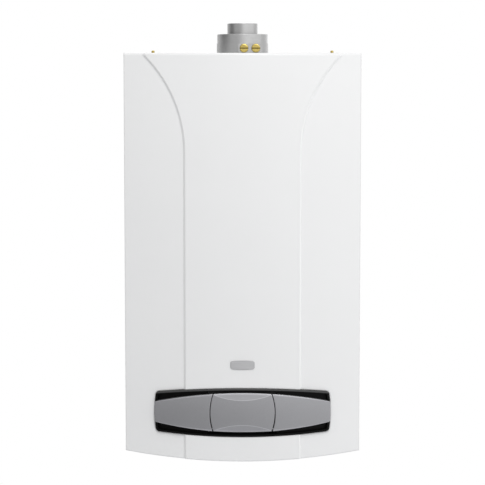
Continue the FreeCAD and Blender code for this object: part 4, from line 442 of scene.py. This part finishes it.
def badge_plate(name):
    """Satin silver with a darker frame round the bare field."""
    finish = Finish(bpy.data.materials.new(name))
    low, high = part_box("front_badge")
    middle = (low + high) / 2
    half = (high - low) / 2
    beside = (finish.axis("X") - middle.x).absolute() > half.x - BADGE_FRAME
    above = (finish.axis("Z") - middle.z).absolute() > half.z - BADGE_FRAME
    frame_mask = finish.node("ShaderNodeMath", {"operation": "MAXIMUM"}, {0: beside, 1: above})
    brush = finish.noise(scale=1, detail=2, place=finish.stretched((40, 900, 900)))
    field = finish.blend(brush, (0.5, 0.5, 0.51, 1), (0.6, 0.6, 0.61, 1))
    return finish.principled({
        "Base Color": finish.blend(frame_mask, field, (0.4, 0.4, 0.41, 1)),
        "Metallic": 0.6,
        "Roughness": 0.32 + brush * 0.1,
        "Normal": finish.bump(brush, FINE_RELIEF, strength=0.3),
    })


# Soft and printed goods
def pressed_fibre(name, colour):
    finish = Finish(bpy.data.materials.new(name))
    fibres = finish.noise(scale=260, detail=6, place=finish.stretched((1, 3, 1)))
    clumps = finish.noise(scale=40, detail=3)
    return finish.principled({
        "Base Color": finish.blend(clumps, tinted(colour, 0.85), tinted(colour, 1.06)),
        "Roughness": 0.9,
        "Normal": finish.bump(fibres + clumps, FIBRE_RELIEF, strength=0.6),
    })


def foam_rubber(name, colour):
    finish = Finish(bpy.data.materials.new(name))
    pores = finish.cells(scale=1200, output="Distance")
    dust = finish.noise(scale=50, detail=3)
    return finish.principled({
        "Base Color": finish.blend(dust, tinted(colour, 0.8), tinted(colour, 1.5)),
        "Roughness": 0.75 + dust * 0.15,
        "Normal": finish.bump(pores, ROUGH_RELIEF, strength=0.5),
    })


def circuit_mask(name, colour):
    finish = Finish(bpy.data.materials.new(name))
    tracks = finish.cells(scale=180, output="Distance", place=finish.stretched((1, 1, 2)))
    copper = tracks < TRACK_REACH
    haze = finish.noise(scale=30, detail=2)
    lacquer = finish.blend(haze, tinted(colour, 0.8), tinted(colour, 1.1))
    return finish.principled({
        "Base Color": finish.blend(copper, lacquer, tinted(colour, 1.7)),
        "Roughness": 0.35 + haze * 0.1,
        "Normal": finish.bump(copper, FINE_RELIEF, strength=0.4),
        "Coat Weight": 0.4,
    })


# A finish for each material slot and for the display's cell
FINISHES = {
    "white_paint": powder_coat("white_paint", (0.857, 0.86, 0.862)),
    "zinc_steel": zinc_sheet("zinc_steel"),
    "badge_silver": badge_plate("badge_silver"),
    "black_plastic": moulded("black_plastic", (0.014, 0.014, 0.015)),
    "silver_plastic": silver_lacquer("silver_plastic", (0.328, 0.328, 0.343)),
    "grey_plastic": moulded("grey_plastic", (0.3, 0.31, 0.32)),
    "board_green": circuit_mask("board_green", (0.03, 0.2, 0.08)),
    "clear_window": clear_plastic("clear_window", (0.7, 0.75, 0.72)),
    "display_cell": moulded("display_cell", (0.34, 0.39, 0.32), grain=500, roughness=0.25),
    "gauge_white": moulded("gauge_white", (0.8, 0.8, 0.78), grain=600, roughness=0.3),
    "needle_black": moulded("needle_black", (0.02, 0.02, 0.02), grain=700, roughness=0.5),
    "cast_aluminium": worked_metal("cast_aluminium", dark=(0.39, 0.39, 0.39), light=(0.56, 0.56, 0.56),
                                   roughness=0.3, scratch_scale=(60, 60, 900)),
    "brass": worked_metal("brass", dark=(0.36, 0.26, 0.07), light=(0.6, 0.46, 0.15),
                          roughness=0.26, scratch_scale=(300, 300, 300)),
    "copper": worked_metal("copper", dark=(0.5, 0.2, 0.11), light=(0.72, 0.36, 0.22),
                           roughness=0.26, scratch_scale=(300, 300, 40)),
    "insulation": pressed_fibre("insulation", (0.75, 0.72, 0.66)),
    "seal_rubber": foam_rubber("seal_rubber", (0.03, 0.03, 0.03)),
    "vessel_red": powder_coat("vessel_red", (0.42, 0.03, 0.03), peel=500, gloss=0.32),
    "pump_iron": cast_iron("pump_iron", (0.1, 0.1, 0.11)),
    "steel": worked_metal("steel", dark=(0.42, 0.42, 0.43), light=(0.6, 0.6, 0.61),
                          roughness=0.26, scratch_scale=(40, 700, 700)),
    "tap_blue": moulded("tap_blue", (0.03, 0.12, 0.4)),
    "cap_red": moulded("cap_red", (0.5, 0.03, 0.03)),
}

# Finishes of single nodes, which hold marks at their own places
SPECIAL_FINISHES = {
    "test_plugs": slotted_brass("slotted_brass"),
    # The bezel's second colour is the painted highlight on its upper lip
    "panel_bezel": bezel_black("bezel_black", (0.0025, 0.0025, 0.0025), (0.055, 0.055, 0.055)),
}


def dress_nodes():
    for name, node in NODES.items():
        node.data.materials.clear()
        node.data.materials.append(SPECIAL_FINISHES.get(name) or FINISHES[SLOT_OF[name]])


# Modelling steps that the added pieces share
def added():
    """The piece that the last operator made, alone in the selection."""
    piece = bpy.context.object
    bpy.ops.object.select_all(action="DESELECT")
    piece.select_set(True)
    return piece


def clear_elements(mode):
    """Leave no vertex, edge or face of the active piece selected."""
    bpy.ops.object.mode_set(mode="EDIT")
    bpy.ops.mesh.select_mode(type=mode)
    bpy.ops.mesh.select_all(action="DESELECT")
    bpy.ops.object.mode_set(mode="OBJECT")


def drop_faces(piece, unwanted):
    """Delete the faces whose centre, in the piece's own axes, is unwanted."""
    clear_elements("FACE")
    for face in piece.data.polygons:
        face.select = unwanted(face.center)
    bpy.ops.object.mode_set(mode="EDIT")
    bpy.ops.mesh.delete(type="FACE")
    bpy.ops.object.mode_set(mode="OBJECT")


def joined(parts):
    bpy.ops.object.select_all(action="DESELECT")
    for part in parts:
        part.select_set(True)
    bpy.context.view_layer.objects.active = parts[0]
    bpy.ops.object.join()
    return added()


def thickened(piece, thickness):
    shell = piece.modifiers.new("thickness", "SOLIDIFY")
    shell.thickness = thickness
    shell.offset = 1
    bpy.ops.object.modifier_apply(modifier=shell.name)
    return piece


def settled(piece, name, slot, body, finish=None):
    """Move the piece's place into its mesh, turn its faces outward, and let it ride on its body."""
    bpy.ops.object.select_all(action="DESELECT")
    piece.select_set(True)
    bpy.context.view_layer.objects.active = piece
    bpy.ops.object.transform_apply(location=True, rotation=True, scale=True)
    bpy.ops.object.mode_set(mode="EDIT")
    bpy.ops.mesh.select_all(action="SELECT")
    bpy.ops.mesh.normals_make_consistent(inside=False)
    bpy.ops.object.mode_set(mode="OBJECT")
    piece.name = name
    piece.data.name = name
    piece.data.materials.clear()
    piece.data.materials.append(finish or FINISHES[slot])
    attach(piece, body)


def flat_grid(columns, rows, reach, place, turn):
    bpy.ops.mesh.primitive_grid_add(x_subdivisions=columns, y_subdivisions=rows, size=reach,
                                    location=place, rotation=turn)
    return added()


def flat_ring(radius, inner_share, place, turn, corners=48):
    """A flat annulus, pulled inward from a circle."""
    bpy.ops.mesh.primitive_circle_add(vertices=corners, radius=radius, location=place, rotation=turn)
    ring = added()
    bpy.ops.object.mode_set(mode="EDIT")
    bpy.ops.mesh.select_all(action="SELECT")
    bpy.ops.mesh.extrude_edges_move()
    bpy.ops.transform.resize(value=(inner_share, inner_share, inner_share), center_override=place)
    bpy.ops.object.mode_set(mode="OBJECT")
    return ring


# Marks on the buttons and the fascia
def face_centre(node):
    low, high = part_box(node)
    return Vector(((low.x + high.x) / 2, low.y, (low.z + high.z) / 2))


def power_mark():
    place = face_centre("power_button")
    ring = flat_ring(MARK_REACH / 2, POWER_RING_SHARE, place, FACING_FRONT)
    drop_faces(ring, lambda centre: centre.y > 0 and abs(centre.x) < POWER_RING_GAP)
    bar_place = place + Vector((0, 0, POWER_BAR_RISE))
    bar = flat_grid(columns=1, rows=3, reach=MARK_REACH, place=bar_place, turn=FACING_FRONT)
    bar.scale = POWER_BAR_SCALE
    settled(thickened(joined([ring, bar]), PRINT_LIFT), "power_mark", "gauge_white", "power_button")


def sign_mark(button, upright):
    """A bar one cell thick, crossed by an upright one for more."""
    grid = flat_grid(MARK_CELLS, MARK_CELLS, MARK_REACH, face_centre(button), FACING_FRONT)
    half_cell = MARK_REACH / MARK_CELLS / 2

    def beside_bars(centre):
        return abs(centre.y) > half_cell and not (upright and abs(centre.x) < half_cell)

    drop_faces(grid, beside_bars)
    settled(thickened(grid, PRINT_LIFT), button.replace("button", "mark"), "gauge_white", button)


def between(first, second):
    middle = (face_centre(first) + face_centre(second)) / 2
    return Vector((middle.x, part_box("control_fascia")[0].y, middle.z))


def radiator_icon():
    place = between("heating_down_button", "heating_up_button")
    grid = flat_grid(ICON_CELLS, ICON_CELLS, ICON_REACH, place, FACING_FRONT)
    cell = ICON_REACH / ICON_CELLS

    def between_columns(centre):
        column = round(centre.x / cell)
        row = round(centre.y / cell)
        return column % 2 == 0 and abs(row) != RADIATOR_RAIL_ROW

    drop_faces(grid, between_columns)
    settled(thickened(grid, PRINT_LIFT), "heating_icon", "gauge_white", "casing")


def droplet_icon():
    place = between("water_down_button", "water_up_button")
    bpy.ops.mesh.primitive_circle_add(vertices=32, radius=DROP_RADIUS, fill_type="NGON",
                                      location=place, rotation=FACING_FRONT)
    drop = added()
    clear_elements("VERT")
    for vertex in drop.data.vertices:
        vertex.select = vertex.co.y > DROP_TIP_START
    bpy.ops.object.mode_set(mode="EDIT")
    bpy.ops.transform.translate(value=(0, 0, DROP_TIP_LIFT), use_proportional_edit=True,
                                proportional_edit_falloff="SHARP", proportional_size=DROP_TIP_LIFT)
    bpy.ops.object.mode_set(mode="OBJECT")
    settled(thickened(drop, PRINT_LIFT), "water_icon", "gauge_white", "casing")


def button_marks():
    power_mark()
    for side in ("heating", "water"):
        sign_mark(side + "_down_button", False)
        sign_mark(side + "_up_button", True)
    radiator_icon()
    droplet_icon()


# Display behind the window of the fascia
def display_cell():
    """Place the cell and return the middle of its front."""
    low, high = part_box("display_window")
    middle = (low + high) / 2
    depth = high.y + CELL_THICK / 2 + CELL_GAP
    bpy.ops.mesh.primitive_cube_add(size=1, location=(middle.x, depth, middle.z))
    cell = added()
    cell.scale = (high.x - low.x - 2 * CELL_MARGIN, CELL_THICK, high.z - low.z - 2 * CELL_MARGIN)
    bpy.ops.object.transform_apply(location=True, rotation=True, scale=True)
    bpy.ops.object.mode_set(mode="EDIT")
    bpy.ops.mesh.select_all(action="SELECT")
    bpy.ops.mesh.bevel(offset=CELL_BEVEL, segments=2)
    bpy.ops.object.mode_set(mode="OBJECT")
    settled(cell, "display_cell", "grey_plastic", "casing", FINISHES["display_cell"])
    return Vector((middle.x, high.y + CELL_GAP, middle.z))


def digit_bar(place, upright):
    """One bar of a seven-bar figure, a flat hexagon drawn out lengthwise."""
    turn = (math.pi / 2, math.pi / 2 if upright else 0, 0)
    bpy.ops.mesh.primitive_circle_add(vertices=6, radius=DIGIT_STROKE, fill_type="NGON",
                                      location=place, rotation=turn)
    bar = added()
    bar.scale = (DIGIT_BAR_HALF / DIGIT_STROKE, 1, 1)
    return bar


def display_figures():
    face = display_cell() - Vector((0, CELL_GAP, 0))
    bars = []
    middle_column = (len(DIGIT_BARS) - 1) / 2
    for column, lit in enumerate(DIGIT_BARS):
        centre = face + Vector(((column - middle_column) * DIGIT_PITCH, 0, 0))
        for x, z, upright in lit:
            offset = Vector((x * DIGIT_WIDTH / 2, 0, z * DIGIT_WIDTH / 2))
            bars.append(digit_bar(centre + offset, upright))
    degree_place = face + DEGREE_SHIFT
    bars.append(flat_ring(DEGREE_RADIUS, DEGREE_HOLE_SHARE, degree_place, FACING_FRONT, DEGREE_CORNERS))
    settled(thickened(joined(bars), -CELL_GAP / 2), "display_figures", "needle_black", "casing")


# Dial of the pressure gauge, read from below
def gauge_direction(value):
    """Turn and unit vector on the dial for a pressure in bar; zero is at the lower left from below."""
    turn = GAUGE_START + GAUGE_SWEEP * value / GAUGE_FULL_SCALE
    return turn, Vector((math.sin(turn), -math.cos(turn), 0))


def gauge_dial():
    low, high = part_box("gauge_glass")
    middle = (low + high) / 2
    centre = Vector((middle.x, middle.y, high.z + DIAL_OVER_GLASS))
    plate = flat_ring(DIAL_RADIUS, DIAL_HOLE / DIAL_RADIUS, centre, FACING_DOWN)
    settled(thickened(plate, -PLATE_THICK), "gauge_dial", "gauge_white", "casing")
    marks = []
    for step in range(GAUGE_FULL_SCALE * GAUGE_TICKS_PER_UNIT + 1):
        turn, way = gauge_direction(step / GAUGE_TICKS_PER_UNIT)
        long_tick = step % GAUGE_TICKS_PER_UNIT == 0
        reach = TICK_LENGTH if long_tick else TICK_LENGTH / 2
        place = centre + way * (TICK_RING - reach / 2)
        tick = flat_grid(columns=1, rows=2, reach=1, place=place, turn=(math.pi, 0, turn))
        tick.scale = (TICK_WIDTH, reach, 1)
        marks.append(tick)
    settled(thickened(joined(marks), PRINT_LIFT), "gauge_ticks", "needle_black", "casing")
    numbers = [dial_number(centre, value) for value in range(GAUGE_FULL_SCALE + 1)]
    settled(thickened(joined(numbers), PRINT_LIFT), "gauge_numbers", "needle_black", "casing")


def dial_number(centre, value):
    way = gauge_direction(value)[1]
    place = centre + way * DIAL_RADIUS * NUMBER_RING_SHARE
    bpy.ops.object.text_add(location=place, rotation=FACING_DOWN)
    number = added()
    number.data.body = str(value)
    number.data.size = NUMBER_SIZE
    number.data.align_x = "CENTER"
    number.data.align_y = "CENTER"
    bpy.ops.object.convert(target="MESH")
    return added()


# Threads on the five connection tails
def tail_threads():
    for mount in frame["record"]["mounts"]:
        if mount["name"].endswith("_tail"):
            thread_on(mount, "copper" if mount["name"] == "gas_tail" else "brass")


def thread_on(mount, slot):
    """A three-cornered ridge, wound up the tail from one pitch over its end."""
    radius = mount["dims"]["r_mm"] / MM_PER_METRE
    x, y = mount["pos_m"][:2]
    point_outward = (math.pi / 2, math.pi / 6, 0)
    bpy.ops.mesh.primitive_circle_add(vertices=3, radius=THREAD_HEIGHT, rotation=point_outward,
                                      location=(radius - THREAD_SINK, 0, 0))
    ridge = added()
    bpy.ops.object.transform_apply(location=True, rotation=True, scale=True)
    sweep = ridge.modifiers.new("sweep", "SCREW")
    sweep.axis = "Z"
    sweep.screw_offset = THREAD_PITCH
    sweep.iterations = THREAD_TURNS
    sweep.steps = THREAD_STEPS
    sweep.render_steps = THREAD_STEPS
    bpy.ops.object.modifier_apply(modifier=sweep.name)
    clear_elements("VERT")
    bpy.ops.object.mode_set(mode="EDIT")
    bpy.ops.mesh.select_non_manifold()
    bpy.ops.mesh.edge_face_add()
    bpy.ops.object.mode_set(mode="OBJECT")
    ridge.location = (x, y, tail_end() + THREAD_PITCH)
    settled(ridge, mount["name"].replace("tail", "thread"), slot, "casing")


def tail_end():
    return min(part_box(node)[0].z for node in ("flow_block", "return_block", "gas_pipes"))


# Studio
def area_lamp(name, place, target, size, power):
    lamp = bpy.data.lights.new(name, "AREA")
    lamp.shape = "RECTANGLE"
    lamp.size = size[0]
    lamp.size_y = size[1]
    lamp.energy = power
    holder = bpy.data.objects.new(name, lamp)
    holder.location = place
    holder.rotation_euler = (Vector(target) - Vector(place)).to_track_quat("-Z", "Y").to_euler()
    bpy.context.scene.collection.objects.link(holder)


def studio():
    low, high = CAD_BOX
    middle = (low + high) / 2
    crown = Vector((0, low.y, high.z))
    right_edge = Vector((high.x, low.y, middle.z))
    area_lamp("key_softbox", place=(0.5, -2.6, 1.7), target=crown, size=(1.0, 1.0), power=25)
    area_lamp("top_softbox", place=(0, -1.6, 1.8), target=crown, size=(1.2, 1.2), power=9)
    area_lamp("right_strip", place=(2.3, -0.42, -0.75), target=right_edge, size=(0.5, 0.9), power=6)
    area_lamp("back_softbox", place=(-1.0, 2.8, 1.4), target=middle, size=(2.0, 2.0), power=20)
    bpy.ops.object.select_all(action="DESELECT")
    bpy.ops.mesh.primitive_plane_add(size=FLOOR_SIZE, location=(0, middle.y, low.z - FLOOR_DROP))
    floor = bpy.context.object
    floor.name = "floor"
    floor.data.materials.append(floor_finish())
    scene_world()


def floor_finish():
    """Pale, clear from below, and fading out round its edge."""
    finish = Finish(bpy.data.materials.new("floor"))
    diffuse = finish.node("ShaderNodeBsdfDiffuse", None, {"Color": FLOOR_COLOUR})
    clear = finish.node("ShaderNodeBsdfTransparent")
    below = finish.node("ShaderNodeNewGeometry", output="Backfacing")
    radius = finish.node("ShaderNodeVectorMath", {"operation": "LENGTH"}, {0: finish.place}, 1)
    far = eased(finish, radius, FLOOR_FADE, (0, 1))
    unseen = finish.node("ShaderNodeMath", {"operation": "MAXIMUM"}, {0: below, 1: far})
    return finish.surface(finish.node("ShaderNodeMixShader", None, {0: unseen, 1: diffuse, 2: clear}))


def eased(finish, value, start_stop, low_high):
    """A smooth step of the value from one level to another."""
    sockets = {"Value": value, "From Min": start_stop[0], "From Max": start_stop[1],
               "To Min": low_high[0], "To Max": low_high[1]}
    return finish.node("ShaderNodeMapRange", {"interpolation_type": "SMOOTHSTEP"}, sockets)


def scene_world():
    """White to the camera, a soft fill for the object, and panels and flags that only gloss mirrors."""
    world = bpy.data.worlds.new("studio")
    bpy.context.scene.world = world
    sky = Finish(world, "Generated")
    right = sky.axis("X")
    behind = sky.axis("Y")
    fill = WORLD_FILL + right * WORLD_SIDE

    def toward(way):
        return right * way[0] + behind * way[1]

    to_right = eased(sky, right, start_stop=(-0.35, 0.4), low_high=(0.4, 1.08))
    upward = eased(sky, sky.axis("Z"), start_stop=(-0.25, 0.12), low_high=(-0.15, 0.25))
    left_panel = eased(sky, toward(LEFT_PANEL_WAY), start_stop=(0.85, 1.0), low_high=(0, 0.1))
    rear_panel = eased(sky, behind, start_stop=(0.25, 0.85), low_high=(0, 0.25))
    dark_flag = eased(sky, toward(DARK_FLAG_WAY), start_stop=(0.86, 0.99), low_high=(0, 0.34))
    right_flag = eased(sky, toward(RIGHT_FLAG_WAY), start_stop=(0.83, 0.98), low_high=(0, 0.4))
    mirrored = to_right + upward + left_panel + rear_panel - dark_flag - right_flag
    glossy = sky.node("ShaderNodeLightPath", output="Is Glossy Ray")
    camera = sky.node("ShaderNodeLightPath", output="Is Camera Ray")
    through = sky.node("ShaderNodeLightPath", output="Is Transmission Ray")
    seen = sky.node("ShaderNodeMath", {"operation": "MAXIMUM"}, {0: camera, 1: through})
    level = seen + (1 - seen) * (glossy * mirrored + (1 - glossy) * fill)
    light = sky.node("ShaderNodeBackground", None, {"Color": (1, 1, 1, 1), "Strength": level})
    sky.surface(light, "ShaderNodeOutputWorld")


def place_camera():
    cover_low, cover_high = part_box("front_cover")
    lens = bpy.data.cameras.new("camera")
    lens.sensor_width = SENSOR_MM
    lens.lens = SENSOR_MM * FOCAL_PER_IMAGE
    camera = bpy.data.objects.new("camera", lens)
    camera.location = (0, cover_low.y + CORNER_BACKSET - CAMERA_REACH, cover_high.z)
    camera.rotation_euler = (math.pi / 2 - CAMERA_PITCH, 0, 0)
    bpy.context.scene.collection.objects.link(camera)
    bpy.context.scene.camera = camera


dress_nodes()
button_marks()
display_figures()
gauge_dial()
tail_threads()
studio()
place_camera()
bpy.context.scene.view_settings.view_transform = "Standard"
